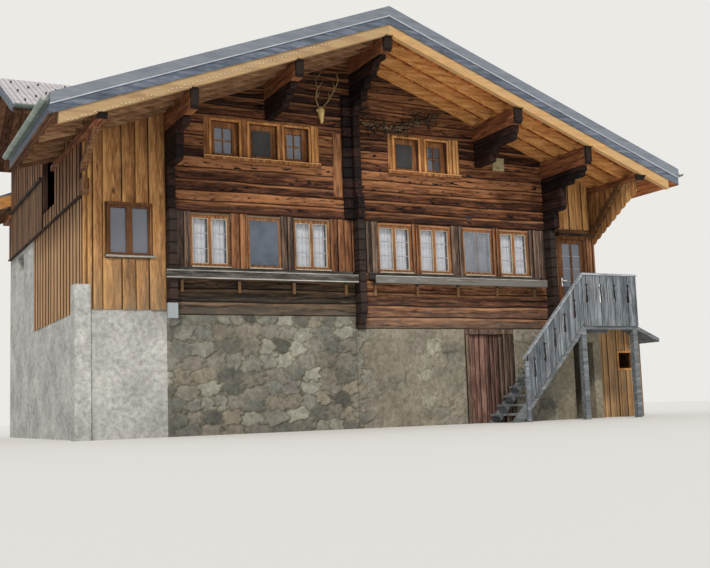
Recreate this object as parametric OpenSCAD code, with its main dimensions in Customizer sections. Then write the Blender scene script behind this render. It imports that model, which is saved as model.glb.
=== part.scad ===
// Log chalet on a masonry cellar, with boarded side bays, an outside stair and a lean-to shed.
// X runs along the front from the ridge line, Y runs into the house from the log front,
// and Z is up from the lowest ground beside the cellar door.

/* [Log house] */
// Ridge line to the outer face of the left log wall
left_w = 4200; // [3900:10:4500]
// Ridge line to the outer face of the right log wall
right_w = 5110; // [5000:10:5300]
// Front log face to rear log face
depth = 8600; // [8400:50:9400]
// Thickness of the squared logs
wall_t = 155; // [130:5:180]
// Depth of the groove where two logs meet
log_groove = 10; // [4:1:20]
// Height of the lowest log above the ground on the right
base_z = 2100; // [2050:10:2150]
// Height of one log in the lower storey
course = 259; // [250:1:265]
// Number of logs in the lower storey on the right
lower_courses = 9; // [9:1:9]
// Height of one log in the upper storey
upper_course = 225; // [200:5:260]
// How far the upper storey stands out in front of the lower one
upper_proud = 25; // [5:5:50]
// Thickness of the floor planks
floor_t = 70; // [50:5:90]

/* [Roof] */
// Top of the roof at the ridge
ridge_z = 8550; // [8450:10:8650]
// Fall of the roof over each unit of width
slope = 0.376; // [0.36:0.002:0.39]
// Ridge line to the left eave
roof_left = 6760; // [6600:10:6900]
// Ridge line to the right eave
roof_right = 7560; // [7400:10:7700]
// Roof in front of the log front
front_over = 1850; // [1800:10:1950]
// Roof behind the rear wall
rear_over = 850; // [700:10:1000]
// Metal covering, measured upright
cover_t = 40; // [30:5:60]
// Covering, battens and upper rafters together, measured upright
skin_t = 376; // [340:2:400]
// Boards under the upper rafters
deck_t = 36; // [24:2:50]
// Height of the visible rafters, measured upright
rafter_h = 209; // [180:1:230]
// Width of the visible rafters
rafter_w = 120; // [80:5:150]
// Thickness of each barge board
barge_t = 25; // [18:1:35]
// Height of the upper barge board, measured upright
barge_h = 190; // [150:5:220]
// Outer radius of the eave gutters
gutter_r = 70; // [50:5:80]

/* [Purlins] */
// Height of the purlins over the log walls
wall_purlin_h = 400; // [340:10:440]
// Height of the ridge beam
ridge_beam_h = 316; // [260:4:360]
// Height of the purlins between wall and ridge
mid_purlin_h = 350; // [300:10:400]
// Width of the purlins between wall and ridge
mid_purlin_w = 170; // [120:10:220]
// Ridge line to the left middle purlin
left_purlin_x = 1980; // [1850:10:2100]
// Ridge line to the right middle purlin
right_purlin_x = 3170; // [3050:10:3300]
// Height of the purlins over the side bays
bay_purlin_h = 110; // [100:10:140]
// Width of the purlins over the side bays
bay_purlin_w = 190; // [150:10:220]
// Purlin end behind the barge boards
purlin_back = 110; // [60:10:200]
// Radius of the hollow cut under each purlin end
purlin_nose_r = 55; // [30:5:80]
// Verge rafter short of the left eave
verge_short_left = 160; // [100:10:250]
// Verge rafter short of the right eave
verge_short_right = 290; // [200:10:350]

/* [Windows] */
// Bottom of the glass in the lower storey
lower_sill_z = 3389; // [3370:1:3400]
// Height of the glass in the lower storey
lower_glass_h = 930; // [880:10:940]
// Bottom of the glass in the upper storey
upper_sill_z = 5690; // [5650:10:5720]
// Height of the glass in the upper storey
upper_glass_h = 535; // [500:5:560]
// Width of the frame round the glass in the lower storey
frame_w = 55; // [40:1:60]
// Width of the frame round the glass in the upper storey
upper_frame_w = 110; // [80:5:120]
// Depth of the upper window frames behind the face of the logs
reveal_d = 85; // [40:5:85]
// Depth of the window frames
frame_d = 90; // [60:5:120]
// Thickness of the glass
glass_t = 20; // [10:2:30]
// Middle and width of the glass of each lower window left of the ridge, from left to right
lower_left_windows = [[-3287, 734], [-2130, 627], [-1052, 725]];
// The same right of the ridge, each middle as a share of the way to the right wall
lower_right_windows = [[0.1824, 749], [0.382, 725], [0.6037, 699], [0.8004, 720]];
// Middle and width of the glass of each upper window, from left to right
upper_windows = [[-2945, 379], [-2110, 407], [-1362, 341], [1298, 397], [2072, 332]];
// Thickness of the upright boards between the windows
board_t = 28; // [20:1:40]

/* [Masonry] */
// Thickness of the cellar walls
masonry_t = 450; // [350:10:500]
// Where the rubble stone ends and the rendered wall begins
stone_end = 350; // [250:10:450]

/* [Cellar door] */
// Left edge of the cellar doorway
cellar_x = 2734; // [2700:1:2760]
// Width of the cellar doorway
cellar_w = 811; // [790:1:840]
// Height of the cellar doorway
cellar_h = 1978; // [1940:1:1990]
// Width of the left door post
cellar_post = 107; // [80:1:130]
// Width of the right door post
cellar_post_right = 387; // [300:1:420]

/* [Left bay] */
// Width of the boarded bay on the left
left_bay = 1630; // [1550:10:1700]
// Thickness of the bay walls
bay_t = 60; // [50:2:80]
// Bottom of the boards on the left bay
bay_base_z = 2450; // [2400:10:2500]
// Underside of the floor beam on the left bay
band_z = 4620; // [4580:10:4660]
// Height of the floor beam on the left bay
band_h = 300; // [240:10:320]
// How far the floor beam stands out in front
band_over = 220; // [150:10:300]
// Boards of the upper storey in front of those of the lower storey
jetty = 40; // [20:5:60]
// Front edge of the recess behind the front of the cross roof
recess_back = -190; // [-200:10:-150]
// Length of the recess in the left bay
recess_w = 1340; // [1250:10:1400]
// Height of the recess in the left bay
recess_h = 1320; // [1000:10:1400]
// Width of the concrete block at the foot of the front corner
block_w = 300; // [250:10:350]
// Height of that block over the foot of the boards
block_h = 470; // [400:10:550]

/* [Cross roof] */
// Front eave of the cross roof
wing_y = 2600; // [2560:10:2700]
// Front eave to rear eave of the cross roof
wing_w = 5600; // [5400:50:5700]
// Top of the cross roof at its eaves
wing_eave_z = 7100; // [7050:10:7150]
// Fall of the cross roof over each unit of width
wing_slope = 0.5; // [0.46:0.01:0.51]
// Thickness of the boards and rafters of the cross roof, measured upright
wing_t = 180; // [140:10:220]

/* [Right bay] */
// Width of the boarded bay on the right
right_bay = 1340; // [1280:10:1400]
// Bottom of the boards on the right bay
right_bay_z = 2200; // [2180:10:2240]
// Right log wall to the left edge of the entrance doorway
entry_gap = 238; // [230:1:270]
// Width of the entrance doorway with its frame
entry_w = 858; // [820:1:870]
// Top of the entrance door frame
entry_top = 4329; // [4290:1:4340]
// Height of the hood over the entrance
hood_h = 160; // [120:10:180]
// Space between a door leaf and its frame
door_gap = 8; // [6:1:10]
// Thickness of the door leaves
leaf_t = 50; // [40:1:60]

/* [Stair] */
// Top of the landing
landing_z = 2200; // [2150:10:2240]
// Left edge of the landing to the outer face of the right log wall
landing_back = 70; // [50:10:90]
// Width of the landing
landing_w = 1620; // [1550:10:1700]
// Depth of the landing from the wall to its front board
landing_d = 1100; // [1000:10:1200]
// Top of the handrail over the landing
rail_h = 1090; // [1000:10:1150]
// Rise of the stair over each unit of run
stair_slope = 1.1; // [1.0:0.02:1.2]
// Number of treads in the stair
treads = 10; // [8:1:12]
// Thickness of treads, deck and handrail
plank_t = 45; // [35:1:60]
// Thickness of the parapet boards
parapet_t = 25; // [20:1:30]
// Clear height of the parapet boards
parapet_drop = 110; // [80:5:140]

/* [Shed] */
// Width of the shed beside the right bay
shed_w = 1890; // [1750:10:2000]
// Top of the shed roof at the house
shed_top = 2720; // [2650:10:2780]
// Fall of the shed roof over each unit of width
shed_slope = 0.435; // [0.4:0.005:0.45]
// Front wall of the shed behind the log front
shed_y = 500; // [400:10:600]
// Depth of the shed roof
shed_d = 3700; // [3200:50:4200]

/* [Hidden] */
$fn = 48;

left_base_z = base_z + course;
upper_z = base_z + lower_courses * course;
left_x = -left_w;
bay_left_x = left_x - left_bay;
lower_windows = concat(lower_left_windows, [for (w = lower_right_windows) [w[0] * right_w, w[1]]]);
bay_right_x = right_w + right_bay;
entry_x = right_w + entry_gap;
landing_x = right_w - landing_back;
recess_y = wing_y + recess_back;
rafter_drop = skin_t + rafter_h;
front_y = -front_over;
rear_y = depth + rear_over;
wing_end_y = wing_y + wing_w;
wing_reach = left_w + 100;
lower_floor_z = lower_sill_z - 700;
gutter_gap = 10;
mid_x = (bay_right_x + shed_w - roof_left - gutter_gap - 2 * gutter_r) / 2;
mid_y = (rear_y + front_y) / 2;
purlin_front = front_y + purlin_back;
purlin_rear = rear_y - purlin_back;

// Top of the main roof at a distance from the ridge line
function roof_top(x) = ridge_z - slope * abs(x);
// Underside of the visible rafters
function rafter_foot(x) = roof_top(x) - rafter_drop;
// Joints of a stack of logs from its foot to its top
function joints(foot, head, step) = concat([for (z = [foot : step : head - step / 2]) z], [head]);

// Purlins as middle, width, height and whether the cross roof breaks them
purlins_all = [
    [bay_left_x, bay_purlin_w, bay_purlin_h, true],
    [left_x + wall_t / 2, wall_t, wall_purlin_h, false],
    [-left_purlin_x, mid_purlin_w, mid_purlin_h, false],
    [0, wall_t + 35, ridge_beam_h, false],
    [right_purlin_x, mid_purlin_w + 20, mid_purlin_h, false],
    [right_w - wall_t / 2, wall_t, wall_purlin_h, false],
    [bay_right_x + 50, bay_purlin_w + 60, bay_purlin_h, false]];
function purlin_top(p) = rafter_foot(p[0]);
function purlin_foot(p) = purlin_top(p) - p[2];

module placed() {
    translate([-mid_x, -mid_y, 0]) children();
}

// Box between two corners
module box(low, high) {
    translate(low) cube(high - low);
}

// An outline drawn in X and Z, run along Y
module along_y(from, to) {
    translate([0, to, 0]) rotate([90, 0, 0]) linear_extrude(to - from) children();
}

// An outline drawn in Y and Z, run along X
module along_x(from, to) {
    translate([from, 0, 0]) rotate([90, 0, 90]) linear_extrude(to - from) children();
}

// Stack of squared logs with a groove at each joint
module log_stack(z, t) {
    last = len(z) - 1;
    g = log_groove;
    polygon(concat(
        [for (i = [0 : last - 1], p = [[g, z[i]], [0, z[i] + g], [0, z[i + 1] - g]]) p],
        [[g, z[last]], [t - g, z[last]]],
        [for (i = [last - 1 : -1 : 0], p = [[t, z[i + 1] - g], [t, z[i] + g], [t - g, z[i]]]) p]));
}

// Band that follows the roof between two depths below its top
module roof_band(near, far, drop, foot) {
    polygon([[near, roof_top(near) - drop], [far, roof_top(far) - drop],
        [far, roof_top(far) - foot], [near, roof_top(near) - foot]]);
}

module purlin_outline(p) {
    translate([p[0] - p[1] / 2, purlin_foot(p)]) square([p[1], p[2]]);
}

module purlin_outlines() {
    for (p = purlins_all) purlin_outline(p);
}

// Wall outline from a floor height up to the underside of the roof boards
module gable_outline(from, to, foot) {
    polygon([[from, foot], [to, foot], [to, roof_top(to) - skin_t], [from, roof_top(from) - skin_t]]);
}

// Masonry

module plinth_outline(from, to) {
    polygon([[from, 0], [to, 0], [to, base_z], [-wall_t / 2, base_z], [-wall_t / 2, left_base_z],
        [from, left_base_z]]);
}

module plinth_stone() {
    color("tan") placed() difference() {
        along_y(0, masonry_t) plinth_outline(left_x, stone_end);
        box([-545, -1, left_base_z - 120], [-360, 120, left_base_z + 1]);
    }
}

module plinth_render() {
    color("gray") placed() {
        box([stone_end, 0, 0], [cellar_x - cellar_post, masonry_t, base_z]);
        box([cellar_x + cellar_w + cellar_post_right, 0, 0], [right_w, masonry_t, base_z]);
    }
}

module plinth_sides() {
    color("gray") placed() {
        box([left_x, masonry_t, 0], [left_x + masonry_t, depth - masonry_t, left_base_z]);
        box([right_w - masonry_t, masonry_t, 0], [right_w, depth - masonry_t, base_z]);
    }
}

module plinth_rear() {
    color("gray") placed() along_y(depth - masonry_t, depth) plinth_outline(left_x, right_w);
}

// Floors of the lower and upper storey in the log house and of the bays
module floors() {
    color("peru") placed() {
        for (z = [lower_floor_z, upper_z + 60]) {
            box([left_x + wall_t, wall_t, z - floor_t], [-wall_t / 2, depth - wall_t, z]);
            box([wall_t / 2, wall_t, z - floor_t], [right_w - wall_t, depth - wall_t, z]);
        }
        box([bay_left_x + bay_t, bay_t, bay_base_z], [left_x, white_block_y, bay_base_z + floor_t]);
        box([bay_left_x + bay_base_t, white_block_y, bay_base_z], [left_x, depth - bay_t, bay_base_z + floor_t]);
        box([bay_left_x + bay_t, bay_t, band_z + band_h - floor_t], [left_x, depth - bay_t, band_z + band_h]);
        box([right_w, bay_t, right_bay_z - floor_t], [bay_right_x - bay_t, depth - bay_t, right_bay_z]);
    }
}

// Log walls

module lower_window_cuts() {
    for (w = lower_windows)
        box([w[0] - w[1] / 2 - frame_w, -1, lower_sill_z - frame_w],
            [w[0] + w[1] / 2 + frame_w, wall_t + 1, lower_sill_z + lower_glass_h + frame_w]);
}

module upper_window_cuts() {
    for (w = upper_windows)
        box([w[0] - w[1] / 2 - upper_frame_w, -upper_proud - 1, upper_sill_z - upper_frame_w],
            [w[0] + w[1] / 2 + upper_frame_w, wall_t + 1, upper_sill_z + upper_glass_h + upper_frame_w]);
}

module front_logs_left() {
    color("sienna") placed() difference() {
        along_x(left_x + wall_t, -wall_t / 2) log_stack(joints(left_base_z, upper_z, course), wall_t);
        lower_window_cuts();
    }
}

module front_logs_right() {
    color("sienna") placed() difference() {
        along_x(wall_t / 2, right_w - wall_t) log_stack(joints(base_z, upper_z, course), wall_t);
        lower_window_cuts();
    }
}

module upper_front(from, to) {
    difference() {
        intersection() {
            translate([0, -upper_proud, 0]) along_x(from, to)
                log_stack(joints(upper_z, ridge_z, upper_course), wall_t);
            along_y(-upper_proud, wall_t) gable_outline(from, to, upper_z);
        }
        along_y(front_y, depth) purlin_outlines();
        upper_window_cuts();
        middle_console(left_purlin_x * -1, left_console_steps());
        middle_console(right_purlin_x, right_console_steps());
    }
}

module gable_logs() {
    color("saddlebrown") placed() {
        upper_front(left_x + wall_t, -wall_t / 2);
        upper_front(wall_t / 2, right_w - wall_t);
    }
}

// One step of a console: its reach, foot, head and the radius of its nose
module console_step(s) {
    translate([-s[0], s[1] + s[3]]) square([s[0], s[2] - s[1] - s[3]]);
    translate([-s[0] + s[3], s[1]]) square([s[0] - s[3], s[2] - s[1]]);
    translate([-s[0] + s[3], s[1] + s[3]]) circle(s[3]);
}

// Outline of a wall seen from the side, with stepped log ends under the roof
module wall_outline(foot, head, steps) {
    square_foot = 380;
    translate([0, foot]) square([depth, head - foot]);
    polygon([[0, foot], [-120, foot], [-270, foot + square_foot], [-270, upper_z], [0, upper_z]]);
    for (s = steps) console_step(s);
}

module log_wall(x, foot, head, steps) {
    z = concat([for (i = joints(foot, upper_z, course)) i],
        [for (i = joints(upper_z + upper_course, head, upper_course)) i]);
    intersection() {
        translate([x, 0, 0]) along_y(front_y, depth) log_stack(z, wall_t);
        along_x(x - 1, x + wall_t + 1) wall_outline(foot, head, steps);
    }
}

module left_log_wall() {
    head = purlin_foot(purlins_all[1]);
    color("saddlebrown") placed() log_wall(left_x, left_base_z, head, [
        [200, upper_z, head - 610, 40], [780, head - 730, head - 80, 120],
        [1200, head - 160, head - 70, 45], [1260, head - 110, head, 50]]);
}

module middle_log_wall() {
    head = purlin_foot(purlins_all[3]);
    color("saddlebrown") placed() log_wall(-wall_t / 2, base_z, head, [
        [300, upper_z, upper_z + 540, 60], [200, upper_z + 500, head - 800, 40],
        [300, head - 860, head - 660, 70], [620, head - 700, head - 460, 80],
        [790, head - 500, head - 310, 60], [1070, head - 330, head - 200, 50],
        [1190, head - 240, head - 60, 70], [1490, head - 90, head, 40]]);
}

module right_log_wall() {
    head = purlin_foot(purlins_all[5]);
    color("saddlebrown") placed() log_wall(right_w - wall_t, base_z, head, [
        [450, upper_z, head - 760, 40], [770, head - 850, head - 290, 130],
        [1100, head - 320, head - 200, 50], [1480, head - 230, head - 100, 55],
        [1550, head - 130, head, 60]]);
}

module rear_logs() {
    color("sienna") placed() for (side = [0, 1]) {
        from = side == 0 ? left_x + wall_t : wall_t / 2;
        to = side == 0 ? -wall_t / 2 : right_w - wall_t;
        foot = side == 0 ? left_base_z : base_z;
        difference() {
            intersection() {
                translate([0, depth - wall_t, 0]) along_x(from, to)
                    log_stack(joints(foot, ridge_z, course), wall_t);
                along_y(depth - wall_t, depth) gable_outline(from, to, foot);
            }
            along_y(front_y, rear_y) purlin_outlines();
        }
    }
}

// Steps of the consoles under the middle purlins, as reach, foot, head and nose
function left_console_steps() = let (head = purlin_foot(purlins_all[2])) [
    [300, head - 430, head - 370, 20], [1000, head - 400, head - 240, 70],
    [1200, head - 280, head - 120, 60], [1430, head - 150, head, 60]];
function right_console_steps() = let (head = purlin_foot(purlins_all[4])) [
    [700, head - 610, head - 400, 50], [850, head - 440, head - 270, 60],
    [1540, head - 310, head - 130, 85], [1600, head - 170, head, 60]];

module middle_console(x, steps) {
    w = mid_purlin_w - 10;
    along_x(x - w / 2, x + w / 2) {
        for (s = steps) console_step(s);
        translate([0, steps[0][1]]) square([wall_t - upper_proud, steps[len(steps) - 1][2] - steps[0][1]]);
    }
}

module gable_consoles() {
    color("saddlebrown") placed() {
        middle_console(left_purlin_x * -1, left_console_steps());
        middle_console(right_purlin_x, right_console_steps());
    }
}

// Roof

module purlins() {
    color("sienna") placed() for (p = purlins_all) difference() {
        if (p[3]) {
            along_y(purlin_front, wing_y) purlin_outline(p);
            along_y(wing_end_y, purlin_rear) purlin_outline(p);
        } else {
            along_y(purlin_front, purlin_rear) purlin_outline(p);
        }
        along_x(p[0] - p[1], p[0] + p[1]) translate([purlin_front, purlin_foot(p)]) circle(purlin_nose_r);
    }
}

rafter_gap = 30;
inner_rafters = 14;
// Front faces of the rafters in front of the house, inside and behind it
rafter_ys = concat(
    [for (i = [0 : 3]) front_y + 2 * barge_t
        + i * (front_over - 2 * barge_t - rafter_gap - rafter_w) / 3],
    [for (i = [0 : inner_rafters - 1]) wall_t - rafter_w / 2
        + (i + 0.5) * (depth - 2 * wall_t) / inner_rafters],
    [depth + rafter_gap, rear_y - 2 * barge_t - rafter_w]);

// A rafter with seats cut where it crosses the purlins
module rafter(y, reach) {
    along_y(y, y + rafter_w) difference() {
        roof_band(0, reach, skin_t, rafter_drop);
        purlin_outlines();
    }
}

// The rafters at the two verges run out to the eaves, those between end over the bay purlins
module rafters_left() {
    last = len(rafter_ys) - 1;
    color("burlywood") placed() for (i = [0 : last]) {
        y = rafter_ys[i];
        broken = y + rafter_w > wing_y && y < wing_end_y;
        verge = i == 0 || i == last;
        rafter(y, broken ? -wing_reach : (verge ? verge_short_left - roof_left : bay_left_x - bay_purlin_w / 2));
    }
}

module rafters_right() {
    last = len(rafter_ys) - 1;
    color("burlywood") placed() for (i = [0 : last])
        rafter(rafter_ys[i], i == 0 || i == last ? roof_right - verge_short_right
            : purlins_all[6][0] + purlins_all[6][1] / 2);
}

// Boards over the rafters
module deck(from, to, reach) {
    along_y(from, to) roof_band(0, reach, skin_t - deck_t, skin_t);
}

upper_rafter_w = 100;
upper_rafter_step = 1100;
// Upper rafters between the boards and the covering, from near the ridge to the eave board
module upper_rafter_row(from, to, reach) {
    count = ceil((to - from) / upper_rafter_step);
    step = (to - from - upper_rafter_w) / count;
    near = reach > 0 ? 5 : -5;
    for (i = [0 : count])
        along_y(from + i * step, from + i * step + upper_rafter_w)
            roof_band(near, reach, cover_t, skin_t - deck_t);
}

module upper_rafters() {
    color("burlywood") placed() {
        upper_rafter_row(deck_front, wing_y - 5, barge_t - roof_left);
        upper_rafter_row(wing_y, wing_end_y - 5, -wing_reach);
        upper_rafter_row(wing_end_y, deck_rear, barge_t - roof_left);
        upper_rafter_row(deck_front, deck_rear, roof_right - barge_t);
    }
}

deck_front = front_y + 2 * barge_t;
deck_rear = rear_y - 2 * barge_t;

module deck_left_front() {
    color("burlywood") placed() deck(deck_front, wing_y, -roof_left);
}

module deck_left_middle() {
    color("burlywood") placed() deck(wing_y, wing_end_y, -wing_reach);
}

module deck_left_rear() {
    color("burlywood") placed() deck(wing_end_y, deck_rear, -roof_left);
}

module deck_right() {
    color("burlywood") placed() deck(deck_front, deck_rear, roof_right);
}

module cover(from, to, reach) {
    color("slategray") placed() along_y(from, to) roof_band(0, reach, 0, cover_t);
}

module cover_left_front() {
    cover(deck_front, wing_y, -roof_left);
}

module cover_left_middle() {
    cover(wing_y, wing_end_y, -wing_reach);
}

module cover_left_rear() {
    cover(wing_end_y, deck_rear, -roof_left);
}

module cover_right() {
    cover(deck_front, deck_rear, roof_right);
}

// Two overlapping boards along each slope, at the front and at the rear
module barge_boards() {
    color("lightslategray") placed() for (reach = [-roof_left, roof_right]) {
        along_y(front_y, front_y + barge_t) roof_band(0, reach, 0, barge_h);
        along_y(front_y + barge_t, front_y + 2 * barge_t) roof_band(0, reach, 0, skin_t);
        along_y(rear_y - barge_t, rear_y) roof_band(0, reach, 0, barge_h);
        along_y(rear_y - 2 * barge_t, rear_y - barge_t) roof_band(0, reach, 0, skin_t);
    }
    color("lightslategray") placed() {
        along_y(deck_front, wing_y) roof_band(barge_t - roof_left, -roof_left, cover_t, skin_t - deck_t);
        along_y(wing_end_y, deck_rear) roof_band(barge_t - roof_left, -roof_left, cover_t, skin_t - deck_t);
        along_y(deck_front, deck_rear) roof_band(roof_right - barge_t, roof_right, cover_t, skin_t - deck_t);
    }
}

// Half round gutter that runs along Y with its middle at x and its rim at z
module gutter(x, z, from, to) {
    along_y(from, to) translate([x, z]) difference() {
        circle(gutter_r);
        circle(gutter_r - 4);
        translate([-gutter_r - 1, 0]) square([2 * gutter_r + 2, gutter_r + 1]);
    }
}

module gutters() {
    left_rim = roof_top(roof_left) - 100;
    right_rim = roof_top(roof_right) - 100;
    color("darkseagreen") placed() {
        gutter(-roof_left - gutter_gap - gutter_r, left_rim, front_y, wing_y);
        gutter(roof_right + gutter_gap + gutter_r, right_rim, front_y, rear_y);
        box([-roof_left - 3 * gutter_gap, front_y + 2 * barge_t, left_rim - 60],
            [-roof_left, wing_y, left_rim + 20]);
        box([roof_right, front_y + 2 * barge_t, right_rim - 60],
            [roof_right + 3 * gutter_gap, deck_rear, right_rim + 20]);
        wing_gutter();
    }
}

wing_gutter_end = -4400;
// Gutter along the front eave of the cross roof
module wing_gutter() {
    rim = wing_eave_z - 60;
    along_x(wing_left_x, wing_gutter_end) translate([wing_y - gutter_gap - gutter_r, rim]) difference() {
        circle(gutter_r);
        circle(gutter_r - 4);
        translate([-gutter_r - 1, 0]) square([2 * gutter_r + 2, gutter_r + 1]);
    }
    box([wing_left_x + 50, wing_y - 3 * gutter_gap, rim - 60], [wing_gutter_end, wing_y, rim + 20]);
}

// Cross roof over the rear part of the left bay

wing_mid_y = wing_y + wing_w / 2;
wing_left_x = -roof_left + 60;
function wing_top(y) = wing_eave_z + wing_slope * (wing_w / 2 - abs(y - wing_mid_y));

module wing_band(drop, foot) {
    along_x(wing_left_x, -50) polygon([
        [wing_y, wing_top(wing_y) - drop], [wing_mid_y, wing_top(wing_mid_y) - drop],
        [wing_end_y, wing_top(wing_end_y) - drop], [wing_end_y, wing_top(wing_end_y) - foot],
        [wing_mid_y, wing_top(wing_mid_y) - foot], [wing_y, wing_top(wing_y) - foot]]);
}

// Space taken by the house under the top of the main roof
module under_main_roof() {
    along_y(wing_y - 1, wing_end_y + 1) polygon([[0, ridge_z], [-wing_reach, roof_top(wing_reach)],
        [-wing_reach, 0], [0, 0]]);
}

module wing_deck() {
    color("burlywood") placed() difference() {
        wing_band(cover_t, cover_t + wing_t);
        under_main_roof();
    }
}

module wing_cover() {
    color("silver") placed() difference() {
        wing_band(0, cover_t);
        under_main_roof();
    }
}

// Windows

// Frame with two casements, its outside w + 2 * side wide
module window_frame(mid, w, z, h, front, side, post) {
    difference() {
        box([mid - w / 2 - side, front, z - side], [mid + w / 2 + side, front + frame_d, z + h + side]);
        if (post > 0) {
            box([mid - w / 2, front - 1, z], [mid - post / 2, front + frame_d + 1, z + h]);
            box([mid + post / 2, front - 1, z], [mid + w / 2, front + frame_d + 1, z + h]);
        } else {
            box([mid - w / 2, front - 1, z], [mid + w / 2, front + frame_d + 1, z + h]);
        }
    }
}

// Sheet of glass in the frame, one on each side of the post
module panes(mid, w, z, h, front, post) {
    if (post > 0) {
        box([mid - w / 2, front, z], [mid - post / 2, front + glass_t, z + h]);
        box([mid + post / 2, front, z], [mid + w / 2, front + glass_t, z + h]);
    } else {
        box([mid - w / 2, front, z], [mid + w / 2, front + glass_t, z + h]);
    }
}

lower_frame_y = 0;
upper_frame_y = reveal_d - upper_proud;
glass_back = 40;
bay_window_mid = left_x - 715;
bay_window_w = 740;
bay_window_z = 3555;
bay_window_h = 880;
bay_window_side = 45;
bay_window_post = 118;
bay_frame_y = 5;
module lower_windows_frames() {
    color("peru") placed() {
        for (w = lower_windows)
            window_frame(w[0], w[1], lower_sill_z, lower_glass_h, lower_frame_y, frame_w, frame_w);
        window_frame(bay_window_mid, bay_window_w, bay_window_z, bay_window_h, bay_frame_y, bay_window_side,
            bay_window_post);
        box([bay_window_mid - bay_window_w / 2 - 110, -70, bay_window_z - bay_window_side - 45],
            [bay_window_mid + bay_window_w / 2 + 85, 0, bay_window_z - bay_window_side]);
    }
}

casing_w = 80;
casing_side = 80;
sill_h = 60;
// Casing boards round a row of upper windows, with a sill that stands out
module casing(first, last, left, right) {
    front = -upper_proud - board_t;
    foot = upper_sill_z - upper_frame_w;
    head = upper_sill_z + upper_glass_h + upper_frame_w;
    from = upper_windows[first][0] - upper_windows[first][1] / 2 - upper_frame_w - left;
    to = upper_windows[last][0] + upper_windows[last][1] / 2 + upper_frame_w + right;
    difference() {
        box([from, front, foot - sill_h], [to, -upper_proud, head + casing_w]);
        for (w = upper_windows)
            box([w[0] - w[1] / 2 - upper_frame_w, front - 1, foot],
                [w[0] + w[1] / 2 + upper_frame_w, -upper_proud + 1, head]);
    }
    box([from - 20, front - 60, foot - sill_h], [to + 20, front, foot]);
}

module upper_windows_frames() {
    color("peru") placed() {
        for (w = upper_windows)
            window_frame(w[0], w[1], upper_sill_z, upper_glass_h, upper_frame_y, upper_frame_w, 0);
        casing(0, 2, 2 * casing_side, 3 * casing_side);
        casing(3, 4, 2 * casing_side, 4 * casing_side);
    }
}

module window_glass() {
    color("lightblue") placed() {
        for (w = lower_windows)
            panes(w[0], w[1], lower_sill_z, lower_glass_h, lower_frame_y + glass_back, frame_w);
        for (w = upper_windows)
            panes(w[0], w[1], upper_sill_z, upper_glass_h, upper_frame_y + glass_back, 0);
        panes(bay_window_mid, bay_window_w, bay_window_z, bay_window_h, bay_frame_y + glass_back, bay_window_post);
    }
}

screened_lower = [1, 5];
screened_upper = [1, 3];
module screen(w, z, h, front) {
    box([w[0] - w[1] / 2, front, z], [w[0] + w[1] / 2, front + 15, z + h]);
}

module insect_screens() {
    color("dimgray") placed() {
        for (i = screened_lower) screen(lower_windows[i], lower_sill_z, lower_glass_h, -15);
        for (i = screened_upper) screen(upper_windows[i], upper_sill_z, upper_glass_h, upper_frame_y - 15);
    }
}

shelf_z = 3200;
// Upright boards that fill the wall between the lower windows
module window_boards() {
    foot = shelf_z + 100;
    left_edges = [for (w = lower_windows) w[0] - w[1] / 2 - frame_w];
    right_edges = [for (w = lower_windows) w[0] + w[1] / 2 + frame_w];
    color("peru") placed() {
        box([left_x + wall_t, -board_t, foot], [left_edges[0], 0, upper_z]);
        for (i = [0, 1, 3, 4, 5]) box([right_edges[i], -board_t, foot], [left_edges[i + 1], 0, upper_z]);
        box([right_edges[2], -board_t, foot], [-wall_t / 2, 0, upper_z]);
        box([wall_t / 2, -board_t, foot], [left_edges[3], 0, upper_z]);
        box([right_edges[6], -board_t, foot], [right_w - wall_t, 0, upper_z]);
    }
}

shelf_d = 350;
shelf_front_h = 160;
bracket_w = 60;
bracket_foot = 2810;
bracket_inset = 150;
// Shelf with a deep front board, carried by brackets whose feet run down the wall
module shelf(from, to, brackets) {
    box([from, -shelf_d + board_t, shelf_z - plank_t], [to, 0, shelf_z]);
    box([from, -shelf_d, shelf_z - shelf_front_h], [to, -shelf_d + board_t, shelf_z + 10]);
    box([from, -80, shelf_z], [to, 0, shelf_z + 100]);
    step = (to - from - 2 * bracket_inset) / (brackets - 1);
    for (i = [0 : brackets - 1]) {
        x = from + bracket_inset + i * step - bracket_w / 2;
        along_x(x, x + bracket_w) polygon([[0, bracket_foot], [0, shelf_z - plank_t],
            [-shelf_d + board_t, shelf_z - plank_t], [-shelf_d + board_t, shelf_z - plank_t - 60],
            [-50, shelf_z - plank_t - 70], [-50, bracket_foot]]);
    }
}

module flower_shelves() {
    color("darkgray") placed() {
        shelf(left_x + wall_t, -150, 4);
        shelf(250, right_w - 370, 5);
        box([left_x - 100, -shelf_d, shelf_z - 160], [left_x + wall_t, -shelf_d + board_t, shelf_z + 10]);
    }
}

module curtains() {
    color("white") placed() for (w = lower_windows)
        box([w[0] - w[1] / 2 + 10, lower_frame_y + frame_d + 20, lower_sill_z + 10],
            [w[0] + w[1] / 2 - 10, lower_frame_y + frame_d + 35, lower_sill_z + lower_glass_h + 30]);
}

// Left bay

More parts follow.
